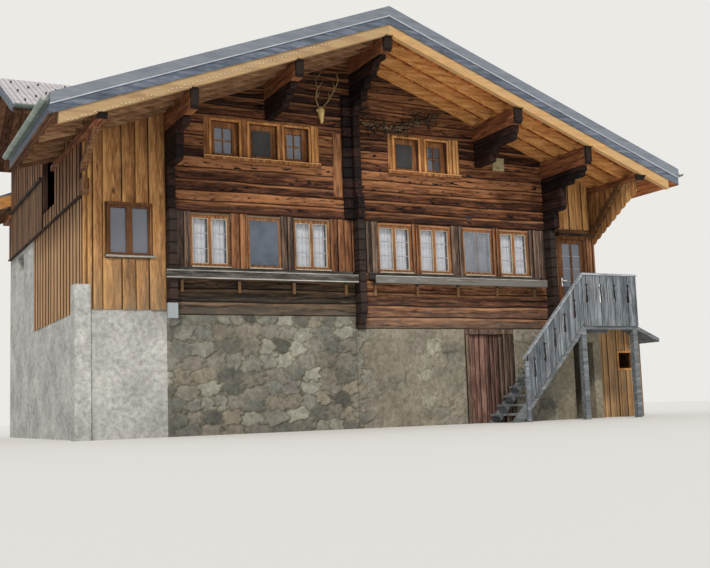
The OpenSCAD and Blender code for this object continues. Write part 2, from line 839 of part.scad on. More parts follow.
bay_base_t = 300;
white_block_run = 3470;
white_window_back = 2050;
white_block_y = depth - white_block_run;
white_window_y = depth - white_window_back;
white_window_w = 860;
white_window_z = 4101;
white_window_h = 400;
module left_bay_base() {
    color("lightgray") placed() {
        box([bay_left_x, 0, 0], [left_x, bay_base_t, bay_base_z]);
        box([bay_left_x, bay_base_t, 0], [bay_left_x + bay_base_t, white_block_y, bay_base_z]);
        difference() {
            box([bay_left_x, white_block_y, 0], [bay_left_x + bay_base_t, depth - bay_t, band_z - jetty]);
            box([bay_left_x - 1, white_window_y, white_window_z],
                [bay_left_x + bay_base_t + 1, white_window_y + white_window_w, white_window_z + white_window_h]);
        }
        box([bay_left_x, depth - bay_base_t, 0], [left_x, depth, bay_base_z]);
        box([bay_left_x - block_w / 2, -60, 0], [bay_left_x + block_w / 2, 0, bay_base_z + block_h]);
        box([bay_left_x - block_w / 2, 0, 0], [bay_left_x, block_w, bay_base_z + block_h]);
    }
}

module left_bay_front() {
    color("sandybrown") placed() difference() {
        along_y(0, bay_t) gable_outline(bay_left_x, left_x, bay_base_z);
        along_y(front_y, depth) purlin_outlines();
        box([bay_window_mid - bay_window_w / 2 - bay_window_side, -1, bay_window_z - bay_window_side],
            [bay_window_mid + bay_window_w / 2 + bay_window_side, bay_t + 1,
            bay_window_z + bay_window_h + bay_window_side]);
    }
}

// Outline of the side wall in Y and Z from a given foot and front edge
module side_outline(front, foot) {
    head = purlin_foot(purlins_all[0]);
    under = cover_t + wing_t;
    polygon([[front, foot], [depth - bay_t, foot], [depth - bay_t, head], [wing_end_y, head],
        [wing_end_y, wing_top(wing_end_y) - under], [wing_mid_y, wing_top(wing_mid_y) - under],
        [wing_y, wing_top(wing_y) - under], [wing_y, head], [front, head]]);
}

// Boards that close the wedge between the main roof and the eave of the cross roof
module wing_apron(y) {
    head = wing_eave_z - cover_t - wing_t;
    from = bay_left_x + bay_t;
    along_y(y, y + bay_t) polygon([[from, roof_top(from)], [(head - ridge_z) / slope, head], [from, head]]);
}

module left_bay_side() {
    color("sandybrown") placed() {
        difference() {
            union() {
                along_x(bay_left_x, bay_left_x + bay_t) difference() {
                    side_outline(bay_t, bay_base_z);
                    translate([white_block_y, 0]) square([depth - white_block_y, band_z - jetty]);
                }
                along_x(bay_left_x - jetty, bay_left_x) side_outline(0, band_z - jetty);
            }
            box([bay_left_x - jetty - 1, recess_y, band_z + band_h],
                [bay_left_x + bay_t + 1, recess_y + recess_w, band_z + band_h + recess_h]);
        }
        wing_apron(wing_y);
        wing_apron(wing_end_y - bay_t);
    }
}

// Beam end under the upper storey and the brace that rises from it to the purlin
module left_bay_bracket() {
    foot_purlin = purlin_foot(purlins_all[0]);
    brace_z = band_z + band_h + 140;
    brace_run = 1190;
    brace_h = 150;
    color("peru") placed() {
        difference() {
            box([bay_left_x - jetty, -band_over, band_z], [bay_left_x + 100, 0, band_z + band_h]);
            along_x(bay_left_x - jetty - 1, bay_left_x + 101)
                translate([-band_over, band_z + 40]) circle(70);
        }
        along_x(bay_left_x - 30, bay_left_x + 90) polygon([[0, brace_z], [0, brace_z + brace_h],
            [-brace_run + 2 * brace_h, foot_purlin], [-brace_run, foot_purlin],
            [-brace_run / 2, (brace_z + foot_purlin) / 2 + 20]]);
    }
}

rail_z = 5790;
rail_stands = 4;
module left_bay_rail() {
    start = recess_y + recess_w;
    end = wing_end_y - 200;
    out = bay_left_x - jetty;
    color("peru") placed() {
        along_y(start, end) translate([out - 60, rail_z - 40]) circle(40);
        for (i = [0 : rail_stands - 1]) {
            y = start + 150 + i * (end - start - 380) / (rail_stands - 1);
            box([out - 60, y, rail_z - 60], [out, y + 80, rail_z - 20]);
        }
    }
}

// Right bay

undercroft_x = right_w + 540;
undercroft_w = 590;
undercroft_h = 1800;
module right_bay_base() {
    color("gray") placed() {
        difference() {
            box([right_w, 0, 0], [bay_right_x, bay_base_t, right_bay_z - floor_t]);
            box([undercroft_x, -1, -1], [undercroft_x + undercroft_w, bay_base_t + 1, undercroft_h]);
        }
        box([bay_right_x - 200, bay_base_t, 0], [bay_right_x, depth - bay_base_t, right_bay_z - floor_t]);
        box([right_w, depth - bay_base_t, 0], [bay_right_x, depth, right_bay_z - floor_t]);
    }
}

module right_bay_front() {
    color("sandybrown") placed() {
        difference() {
            along_y(0, bay_t) gable_outline(right_w, bay_right_x, right_bay_z - floor_t);
            along_y(front_y, depth) purlin_outlines();
            box([entry_x, -1, right_bay_z], [entry_x + entry_w, bay_t + 1, entry_top]);
        }
        box([entry_x - 20, -110, entry_top], [bay_right_x - 130, 0, entry_top + hood_h / 2]);
        box([entry_x + 30, -60, entry_top + hood_h / 2], [bay_right_x - 150, 0, entry_top + hood_h]);
    }
}

module right_bay_side() {
    color("sandybrown") placed()
        box([bay_right_x - bay_t, bay_t, right_bay_z - floor_t],
            [bay_right_x, depth - bay_t, purlin_foot(purlins_all[6])]);
}

module bay_rear_walls() {
    color("sandybrown") placed() difference() {
        union() {
            along_y(depth - bay_t, depth) gable_outline(bay_left_x, left_x, bay_base_z);
            along_y(depth - bay_t, depth) gable_outline(right_w, bay_right_x, right_bay_z - floor_t);
        }
        along_y(front_y, rear_y) purlin_outlines();
    }
}

cheek_boards = 9;
cheek_reach = 1650;
cheek_low_z = 4150;
cheek_high_z = 5070;
brace_foot = 4270;
brace_reach = 1250;
// Boarded side of the roof overhang at the right corner, each board cut round at its foot
module wind_cheek() {
    top = purlin_foot(purlins_all[6]);
    w = cheek_reach / cheek_boards;
    color("sandybrown") placed() {
        along_x(bay_right_x - 25, bay_right_x) for (i = [0 : cheek_boards - 1]) {
            foot = cheek_low_z + i * (cheek_high_z - cheek_low_z) / (cheek_boards - 1);
            translate([-(i + 1) * w, foot + w]) square([w, top - foot - w]);
            intersection() {
                translate([-(i + 1) * w, foot]) square(w);
                translate([-i * w, foot + w]) circle(w);
            }
        }
        along_x(bay_right_x - 125, bay_right_x - 25)
            polygon([[0, brace_foot], [0, brace_foot + 200], [-brace_reach + 170, top], [-brace_reach, top]]);
    }
}

// Doors

frame_depth = 150;
module cellar_frame() {
    inner = cellar_x + cellar_w;
    outer = inner + cellar_post_right;
    color("rosybrown") placed() {
        box([cellar_x - cellar_post, -10, 0], [cellar_x, frame_depth, cellar_h]);
        box([inner, 50, 0], [inner + 82, frame_depth, cellar_h]);
        box([inner + 82, -10, 0], [outer, frame_depth, cellar_h]);
        box([cellar_x - cellar_post, -10, cellar_h], [outer, frame_depth, base_z]);
        box([cellar_x - cellar_post, frame_depth, cellar_h], [outer, masonry_t, base_z]);
    }
}

cellar_leaf_y = 60;
hinge_r = 9;
hinge_in = 7;
hinge_h = 110;
// Hinge barrels on the inner face of a leaf
module barrels(x, y, heights) {
    for (z = heights) translate([x, y, z]) cylinder(h = hinge_h, r = hinge_r);
}

module cellar_door() {
    color("brown") placed() {
        box([cellar_x + door_gap, cellar_leaf_y, door_gap],
            [cellar_x + cellar_w - door_gap, cellar_leaf_y + leaf_t, cellar_h - door_gap]);
        barrels(cellar_x + door_gap + hinge_in, cellar_leaf_y + leaf_t + hinge_in, [300, cellar_h - 400]);
    }
}

entry_frame_w = 60;
leaf_z = right_bay_z + 15;
leaf_left = entry_x + entry_frame_w + door_gap;
leaf_right = entry_x + entry_w - entry_frame_w - door_gap;
leaf_top = entry_top - entry_frame_w - door_gap;
module entrance_frame() {
    color("peru") placed() difference() {
        box([entry_x, -10, right_bay_z], [entry_x + entry_w, bay_t + 20, entry_top]);
        box([entry_x + entry_frame_w, -11, right_bay_z - 1],
            [entry_x + entry_w - entry_frame_w, bay_t + 21, entry_top - entry_frame_w]);
    }
}

leaf_y = 30;
stile = 95;
pane_foot = 2950;
module entrance_door() {
    mid = (leaf_left + leaf_right) / 2;
    color("saddlebrown") placed() difference() {
        box([leaf_left, leaf_y, leaf_z], [leaf_right, leaf_y + leaf_t, leaf_top]);
        box([leaf_left + stile, leaf_y - 1, pane_foot], [mid - 25, leaf_y + leaf_t + 1, leaf_top - stile]);
        box([mid + 25, leaf_y - 1, pane_foot], [leaf_right - stile, leaf_y + leaf_t + 1, leaf_top - stile]);
    }
    color("saddlebrown") placed()
        barrels(leaf_right - hinge_in, leaf_y + leaf_t + hinge_in, [leaf_z + 250, leaf_top - 400]);
}

module entrance_glass() {
    mid = (leaf_left + leaf_right) / 2;
    color("lightblue") placed() {
        box([leaf_left + stile, leaf_y + 20, pane_foot], [mid - 25, leaf_y + 30, leaf_top - stile]);
        box([mid + 25, leaf_y + 20, pane_foot], [leaf_right - stile, leaf_y + 30, leaf_top - stile]);
    }
}

// Stair and landing

landing_right = landing_x + landing_w;
post_w = 130;
parapet_y = -landing_d - parapet_t;
string_t = 50;
stair_width = 930;
stair_foot_x = landing_x - (landing_z - 0) / stair_slope;
stair_front_y = -landing_d;

module landing() {
    color("gray") placed() difference() {
        union() {
        box([landing_x, -landing_d, landing_z - plank_t], [landing_right, 0, landing_z]);
        box([landing_x, -landing_d, landing_z - plank_t - 140], [landing_right, -landing_d + 80, landing_z - plank_t]);
        box([landing_x, -80, landing_z - plank_t - 140], [landing_right, 0, landing_z - plank_t]);
        for (x = [landing_x, landing_right - post_w])
            box([x, -landing_d, 0], [x + post_w, -landing_d + post_w, landing_z - plank_t - 140]);
        }
        box([landing_x - 1, -290, landing_z - 400], [right_w + 5, 1, landing_z + 1]);
    }
}

slot_w = 64;
// Slot with a round head, wider at its foot
module slot(h) {
    polygon([[-slot_w / 6, h], [slot_w / 6, h], [slot_w / 2, 0], [-slot_w / 2, 0]]);
    translate([0, h + 20]) circle(slot_w / 2.2);
}

slots = 4;
slot_h = 370;
slot_up = 430;
stair_slots = 5;
stair_slot_step = 294;
stair_slot_up = 285;
module landing_parapet() {
    head = landing_z + rail_h;
    step = (landing_w - 80) / slots;
    color("gray") placed() {
        along_y(parapet_y, -landing_d) difference() {
            translate([landing_x + 60, landing_z - parapet_drop])
                square([landing_w - 60, rail_h + parapet_drop - plank_t]);
            for (i = [0 : slots - 1])
                translate([landing_x + 175 + i * 1.04 * step, landing_z + slot_up]) slot(slot_h);
        }
        box([landing_x + 60, parapet_y - 30, head - plank_t], [landing_right + 30, -landing_d + 45, head]);
        along_x(landing_right, landing_right + parapet_t) difference() {
            translate([parapet_y, landing_z - parapet_drop])
                square([landing_d + parapet_t - 10, rail_h + parapet_drop - plank_t]);
            for (i = [0 : 1]) translate([-760 + i * 380, landing_z + slot_up]) slot(slot_h);
        }
        box([landing_right - 45, -landing_d + 45, head - plank_t], [landing_right + 30, -10, head]);
    }
}

// Band along the stair between two heights above its nosing line
module stair_band(from, to, low, high) {
    function line(x) = landing_z + stair_slope * (x - landing_x);
    polygon([[from, line(from) + low], [to, line(to) + low], [to, line(to) + high], [from, line(from) + high]]);
}

string_h = 300;
module stair_strings() {
    color("gray") placed() for (y = [stair_front_y, stair_front_y + stair_width - string_t])
        along_y(y, y + string_t) intersection() {
            stair_band(stair_foot_x - 400, landing_x, -string_h, 0);
            translate([stair_foot_x - 400, 0]) square([landing_x - stair_foot_x + 400, landing_z]);
        }
}

module stair_treads() {
    rise = landing_z / (treads + 1);
    run = rise / stair_slope;
    color("gray") placed() for (i = [1 : treads])
        box([stair_foot_x + (i - 1) * run + 20, stair_front_y + string_t, i * rise - plank_t],
            [stair_foot_x + i * run + 45, stair_front_y + stair_width - string_t, i * rise]);
}

stair_boards_run = 1540;
stair_boards_x = landing_x - stair_boards_run;
module stair_parapet() {
    newel = 85;
    color("gray") placed() {
        along_y(parapet_y, -landing_d) difference() {
            stair_band(stair_boards_x - 1, landing_x + 60, -parapet_drop, rail_h - 99 - plank_t);
            for (i = [0 : stair_slots - 1]) {
                x = landing_x - 196 - i * stair_slot_step;
                translate([x, landing_z + stair_slope * (x - landing_x) + stair_slot_up]) slot(slot_h);
            }
        }
        along_y(parapet_y - 30, -landing_d + 45)
            stair_band(stair_boards_x - newel, landing_x + 60, rail_h - 100 - plank_t, rail_h - 100);
        box([stair_boards_x - newel, parapet_y - 30, 0],
            [stair_boards_x, -landing_d, landing_z + stair_slope * (stair_boards_x - newel - landing_x) + 900]);
    }
}

// Shed

shed_right = bay_right_x + shed_w;
shed_wall_x = shed_right - 200;
function shed_roof_top(x) = shed_top - shed_slope * (x - bay_right_x);
shed_roof_t = 90;
shed_front_y = 0;

module shed_walls() {
    rear = shed_d - 200;
    color("sandybrown") placed() {
        difference() {
            along_y(shed_y, shed_y + bay_t) polygon([[bay_right_x, 0], [shed_wall_x, 0],
                [shed_wall_x, shed_roof_top(shed_wall_x) - shed_roof_t],
                [bay_right_x, shed_roof_top(bay_right_x) - shed_roof_t]]);
            box([shed_wall_x - 710, shed_y - 1, 1190], [shed_wall_x - 320, shed_y + bay_t + 1, 1570]);
        }
        along_y(rear - bay_t, rear) polygon([[bay_right_x, 0], [shed_wall_x, 0],
            [shed_wall_x, shed_roof_top(shed_wall_x) - shed_roof_t],
            [bay_right_x, shed_roof_top(bay_right_x) - shed_roof_t]]);
        box([shed_wall_x - bay_t, shed_y + bay_t, 0],
            [shed_wall_x, rear - bay_t, shed_roof_top(shed_wall_x) - shed_roof_t]);
    }
}

module shed_roof() {
    color("burlywood") placed() {
        along_y(shed_front_y, shed_d) polygon([[bay_right_x, shed_roof_top(bay_right_x)],
            [shed_right, shed_roof_top(shed_right)], [shed_right, shed_roof_top(shed_right) - shed_roof_t],
            [bay_right_x, shed_roof_top(bay_right_x) - shed_roof_t]]);
    }
}

// Meter box in front of the foot of the left log ends
meter_back = 205;
module meter_box() {
    color("gray") placed()
        box([left_x - 60, -meter_back - 100, left_base_z - 90], [left_x + 140, -meter_back, left_base_z + 205]);
}

plinth_stone();
plinth_render();
plinth_sides();
plinth_rear();
floors();
front_logs_left();
front_logs_right();
gable_logs();
left_log_wall();
middle_log_wall();
right_log_wall();
rear_logs();
gable_consoles();
purlins();
rafters_left();
rafters_right();
deck_left_front();
deck_left_middle();
deck_left_rear();
deck_right();
upper_rafters();
cover_left_front();
cover_left_middle();
cover_left_rear();
cover_right();
barge_boards();
gutters();
wing_deck();
wing_cover();
lower_windows_frames();
upper_windows_frames();
window_glass();
insect_screens();
window_boards();
flower_shelves();
curtains();
left_bay_base();
left_bay_front();
left_bay_side();
left_bay_bracket();
left_bay_rail();
right_bay_base();
right_bay_front();
right_bay_side();
bay_rear_walls();
wind_cheek();
cellar_frame();
cellar_door();
entrance_frame();
entrance_door();
entrance_glass();
landing();
landing_parapet();
stair_strings();
stair_treads();
stair_parapet();
shed_walls();
shed_roof();
meter_box();
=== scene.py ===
import math

import bmesh
import bpy
import numpy as np
from mathutils import Matrix, Vector


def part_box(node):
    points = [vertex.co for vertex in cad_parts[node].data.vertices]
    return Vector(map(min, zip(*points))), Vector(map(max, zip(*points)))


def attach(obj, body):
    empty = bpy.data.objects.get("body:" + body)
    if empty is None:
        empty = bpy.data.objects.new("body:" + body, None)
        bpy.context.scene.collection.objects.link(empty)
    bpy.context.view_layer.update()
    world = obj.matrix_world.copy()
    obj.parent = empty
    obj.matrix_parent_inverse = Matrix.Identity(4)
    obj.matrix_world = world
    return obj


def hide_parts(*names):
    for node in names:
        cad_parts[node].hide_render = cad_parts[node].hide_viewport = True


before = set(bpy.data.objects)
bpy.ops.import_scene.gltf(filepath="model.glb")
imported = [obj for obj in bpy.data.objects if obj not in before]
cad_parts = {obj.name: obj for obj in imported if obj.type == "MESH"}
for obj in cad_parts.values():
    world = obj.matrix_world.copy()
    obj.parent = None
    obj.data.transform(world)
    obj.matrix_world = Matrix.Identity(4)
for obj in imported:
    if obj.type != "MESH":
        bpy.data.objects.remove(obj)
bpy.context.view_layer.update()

# Viewpoint. The photograph was taken from below on the left, a little over 20 m from the log
# front, with the camera tilted up to the gable. The lens is a short telephoto.
HOUSE = "chalet"
ridge_x = sum(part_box("middle_log_wall")[i].x for i in (0, 1)) / 2
front_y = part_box("front_logs_left")[0].y
eye = Vector((ridge_x - 10.052, front_y - 19.638, 0.391))
yaw, pitch, roll = (math.radians(a) for a in (26.946, 6.900, -2.023))
ahead = Vector((math.sin(yaw) * math.cos(pitch), math.cos(yaw) * math.cos(pitch), math.sin(pitch)))
level = Vector((math.cos(yaw), -math.sin(yaw), 0))
upright = level.cross(ahead)
right_hand = level * math.cos(roll) + upright * math.sin(roll)
overhead = upright * math.cos(roll) - level * math.sin(roll)
lens = bpy.data.cameras.new("viewpoint")
lens.sensor_fit = "HORIZONTAL"
lens.sensor_width = 36
lens.lens = 52.78
lens.clip_end = 200
camera = bpy.data.objects.new("viewpoint", lens)
camera.matrix_world = Matrix((right_hand, overhead, -ahead)).transposed().to_4x4()
camera.location = eye
bpy.context.scene.collection.objects.link(camera)
bpy.context.scene.camera = camera


# Studio floor. A plain sheet of matt paper under the house, as wide as the view needs. It is flat
# and without gloss, so that it only takes the house's shadow.
def linear(hex_colour, shade=1.0):
    """An sRGB hex colour as the linear values that the shaders take, darkened by shade."""
    parts = [int(hex_colour[i:i + 2], 16) / 255 for i in (1, 3, 5)]
    return [shade * (p / 12.92 if p <= 0.04045 else ((p + 0.055) / 1.055) ** 2.4) for p in parts] + [1.0]


def add(material, kind, sockets=(), operation=None, **settings):
    """A node in a material's tree. Its sockets take values, links, or nodes by their first output."""
    node = material.node_tree.nodes.new("ShaderNode" + kind)
    if operation:
        node.operation = operation
    for key, value in settings.items():
        setattr(node, key, value)
    for key, value in sockets.items() if isinstance(sockets, dict) else enumerate(sockets):
        if isinstance(value, bpy.types.Node):
            value = next(output for output in value.outputs if output.enabled)
        if isinstance(value, bpy.types.NodeSocket):
            material.node_tree.links.new(value, node.inputs[key])
        else:
            node.inputs[key].default_value = value
    return node


def blank(name):
    """A material without nodes."""
    material = bpy.data.materials.new(name)
    material.use_nodes = True
    material.node_tree.nodes.clear()
    return material


def surface(material, sockets):
    """The principled surface at the end of a material's tree."""
    add(material, "OutputMaterial", (add(material, "BsdfPrincipled", sockets),))
    return material


def mesh_piece(name, vertices, faces, material, slot, body=HOUSE):
    """A mesh object with the given finish, which rides on a body when a slot is given."""
    mesh = bpy.data.meshes.new(name)
    mesh.from_pydata([tuple(v) for v in vertices], [], faces)
    mesh.materials.append(material)
    piece = bpy.data.objects.new(name, mesh)
    bpy.context.scene.collection.objects.link(piece)
    if slot:
        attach(piece, body)
    return piece


def dress(material, *nodes):
    """Gives nodes of the frame a material."""
    for node in nodes:
        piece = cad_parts[node]
        piece.data.materials.clear()
        piece.data.materials.append(material)


# Uncoated paper, an even warm white.
paper = blank("matt_studio_paper")
surface(paper, {"Base Color": linear("#d6d4cf"), "Roughness": 0.9, "Specular IOR Level": 0.2})
sheet_half = 90
corners = [(x * sheet_half, y * sheet_half, 0) for x, y in ((-1, -1), (1, -1), (1, 1), (-1, 1))]
mesh_piece("studio_floor", corners, [(0, 1, 2, 3)], paper, None)


# Cellar walls. Split field stone laid in rough courses of lime mortar on the left; towards the
# right the same wall lies under a thin grey render that has worn through in places.
def stone_finish(name, tones, mortar, render_tone):
    """Each stone's tone, its mortar and the skim of render over it come from the mesh."""
    material = blank(name)
    place = add(material, "TexCoord").outputs["Object"]
    tone, joint, skim = (add(material, "Attribute", attribute_name=label).outputs["Fac"]
                         for label in ("tone", "mortar", "skim"))
    ramp = add(material, "ValToRGB", (tone,))
    stops = ramp.color_ramp.elements
    stops[0].color = linear(tones[0])
    stops[1].color = linear(tones[-1])
    for i, colour in enumerate(tones[1:-1]):
        stops.new((i + 1) / (len(tones) - 1)).color = linear(colour)
    # Mottle of 100 mm patches, grit of 8 mm grains, and damp stains of 700 mm.
    mottle, grit, stain = (add(material, "TexNoise", {"Vector": place, "Scale": scale, "Detail": detail,
                                                      "Roughness": rough})
                           for scale, detail, rough in ((10.0, 9.0, 0.7), (125.0, 3.0, 0.5), (1.4, 5.0, 0.5)))
    colour = ramp
    for amount, over in ((add(material, "MapRange", (joint, 0.0, 0.5, 0.0, 1.0)), linear(mortar)),
                         (add(material, "MapRange", (joint, 0.75, 1.0, 0.0, 0.75)), linear("#2f2b25")),
                         (skim, linear(render_tone))):
        colour = add(material, "Mix", {0: amount, 6: colour, 7: over}, data_type="RGBA")
    light = add(material, "Math", (add(material, "MapRange", (mottle, 0.28, 0.72, 0.5, 1.35)),
                                   add(material, "MapRange", (stain, 0.35, 0.65, 0.78, 1.1))),
                "MULTIPLY")
    toned = add(material, "VectorMath", {0: colour, "Scale": light}, "SCALE")
    relief = add(material, "Math", (mottle, grit), "ADD")
    bump = add(material, "Bump", {"Height": relief, "Strength": 0.6, "Distance": 0.014})
    return surface(material, {"Base Color": toned, "Roughness": 0.93, "Normal": bump,
                              "Specular IOR Level": 0.2})


def paint(piece, domain, **layers):
    """Writes named values on a mesh's points or faces, for its material to read."""
    for label, values in layers.items():
        layer = piece.data.attributes.new(label, "FLOAT", domain)
        layer.data.foreach_set("value", np.array(values, np.float32))


def laid_stones(rng, x0, x1, z1):
    """Middles and tones of stones laid in uneven courses."""
    stones = []
    z = -0.15
    while z < z1 + 0.3:
        height = rng.uniform(0.16, 0.36)
        x = x0 - 0.5 + rng.uniform(0, 0.3)
        while x < x1 + 0.5:
            width = rng.uniform(0.18, 0.6)
            stones.append((x + width / 2, z + height / 2 + rng.uniform(-0.07, 0.07), rng.random()))
            x += width
        z += height
    return np.array(stones)


def grid(columns, rows):
    """Faces of a sheet whose points run row by row."""
    wide = columns + 1
    return [(j * wide + i, j * wide + i + 1, (j + 1) * wide + i + 1, (j + 1) * wide + i)
            for j in range(rows) for i in range(columns)]


def masonry(name, x0, x1, top, render_from, seed, slot, cell=0.018):
    """Relief of a wall: every stone bulges, the mortar lies back, render hides all but a few."""
    rng = np.random.default_rng(seed)
    stones = laid_stones(rng, x0, x1, top)
    nx = int((x1 - x0) / cell)
    nz = int(top / cell)
    gx, gz = (g.ravel() for g in np.meshgrid(np.linspace(x0, x1, nx + 1), np.linspace(0, top, nz + 1)))
    wobble = 0.035 * np.sin(gx * 23 + 3 * np.sin(gz * 17)) + 0.02 * np.sin(gz * 41 + gx * 13)
    # How far the nearest stone and the next one are: where both are as far, there is mortar.
    first = np.full(gx.size, 9.0)
    second = first.copy()
    nearest = np.zeros(gx.size, int)
    for i, (sx, sz, _) in enumerate(stones):
        away = np.hypot((gx + wobble - sx) * 0.78, (gz + 0.6 * wobble - sz) * 1.15)
        closer = away < first
        second = np.where(closer, first, np.minimum(second, away))
        nearest = np.where(closer, i, nearest)
        first = np.minimum(first, away)
    gap = (second - first).clip(0, 0.12) / 0.12
    # Stones stand 12 to 48 mm proud.
    proud = 0.012 + 0.036 * rng.random(len(stones))
    rough = 0.005 * np.sin(gx * 61 + 2 * np.sin(gz * 47)) * np.sin(gz * 53)
    relief = np.sqrt((gap * 2.0).clip(0, 1)) * proud[nearest] + rough + 0.006
    # Render lies in patches, and begins over 300 mm of the wall.
    patch = 0.5 + 0.5 * np.sin(gx * 2.3 + 1.7 * np.sin(gz * 3.3)) * np.sin(gz * 2.7 + 0.8)
    skim = ((gx - render_from) / 0.3 + 0.5).clip(0, 1) * (0.25 + 0.9 * patch).clip(0, 1)
    plaster = 0.03 + 0.007 * np.sin(gx * 9 + np.sin(gz * 11)) + rough
    relief = relief * (1 - skim) + np.maximum(plaster, relief * 0.75) * skim
    edge = np.minimum.reduce([gx - x0, x1 - gx, top - gz]).clip(0, 0.03) / 0.03
    relief = np.maximum(relief * edge, 0.0005)
    piece = mesh_piece(name, np.stack([gx, front_y - relief, gz], 1), grid(nx, nz), field_stone, slot)
    paint(piece, "POINT", tone=stones[nearest, 2], mortar=1 - (gap * 3.4).clip(0, 1), skim=skim)
    piece.data.shade_smooth()


# Grey-brown split limestone, pitted and dull, in sandy lime mortar.
field_stone = stone_finish("lime_bedded_field_stone", ["#53524a", "#74736a", "#989587", "#63625a", "#857d6e",
                                                       "#7b766f"], "#706d5f", "#8b8474")
# Floated lime render, one warm grey in soft clouds; the left bay's is fresher and nearly white.
grey_render = stone_finish("worn_grey_lime_render", ["#89816f", "#89816f"], "#89816f", "#89816f")
pale_render = stone_finish("pale_lime_wash", ["#b2b1ac", "#b2b1ac"], "#b2b1ac", "#b2b1ac")
dress(grey_render, "plinth_render", "plinth_sides", "right_bay_base")
dress(field_stone, "plinth_stone", "plinth_rear")
dress(pale_render, "left_bay_base")
stone_low, stone_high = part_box("plinth_stone")
render_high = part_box("plinth_render")[1]
post_low, post_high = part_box("cellar_frame")
step_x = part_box("middle_log_wall")[0].x
right_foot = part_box("front_logs_right")[0].z
masonry("field_stone_left", stone_low.x, step_x, stone_high.z, ridge_x + 2.0, 4, "rubble")
masonry("field_stone_right", step_x, post_low.x, right_foot, ridge_x + 0.2, 9, "render")
masonry("rendered_corner", post_high.x, render_high.x, right_foot, ridge_x - 9, 11, "render")


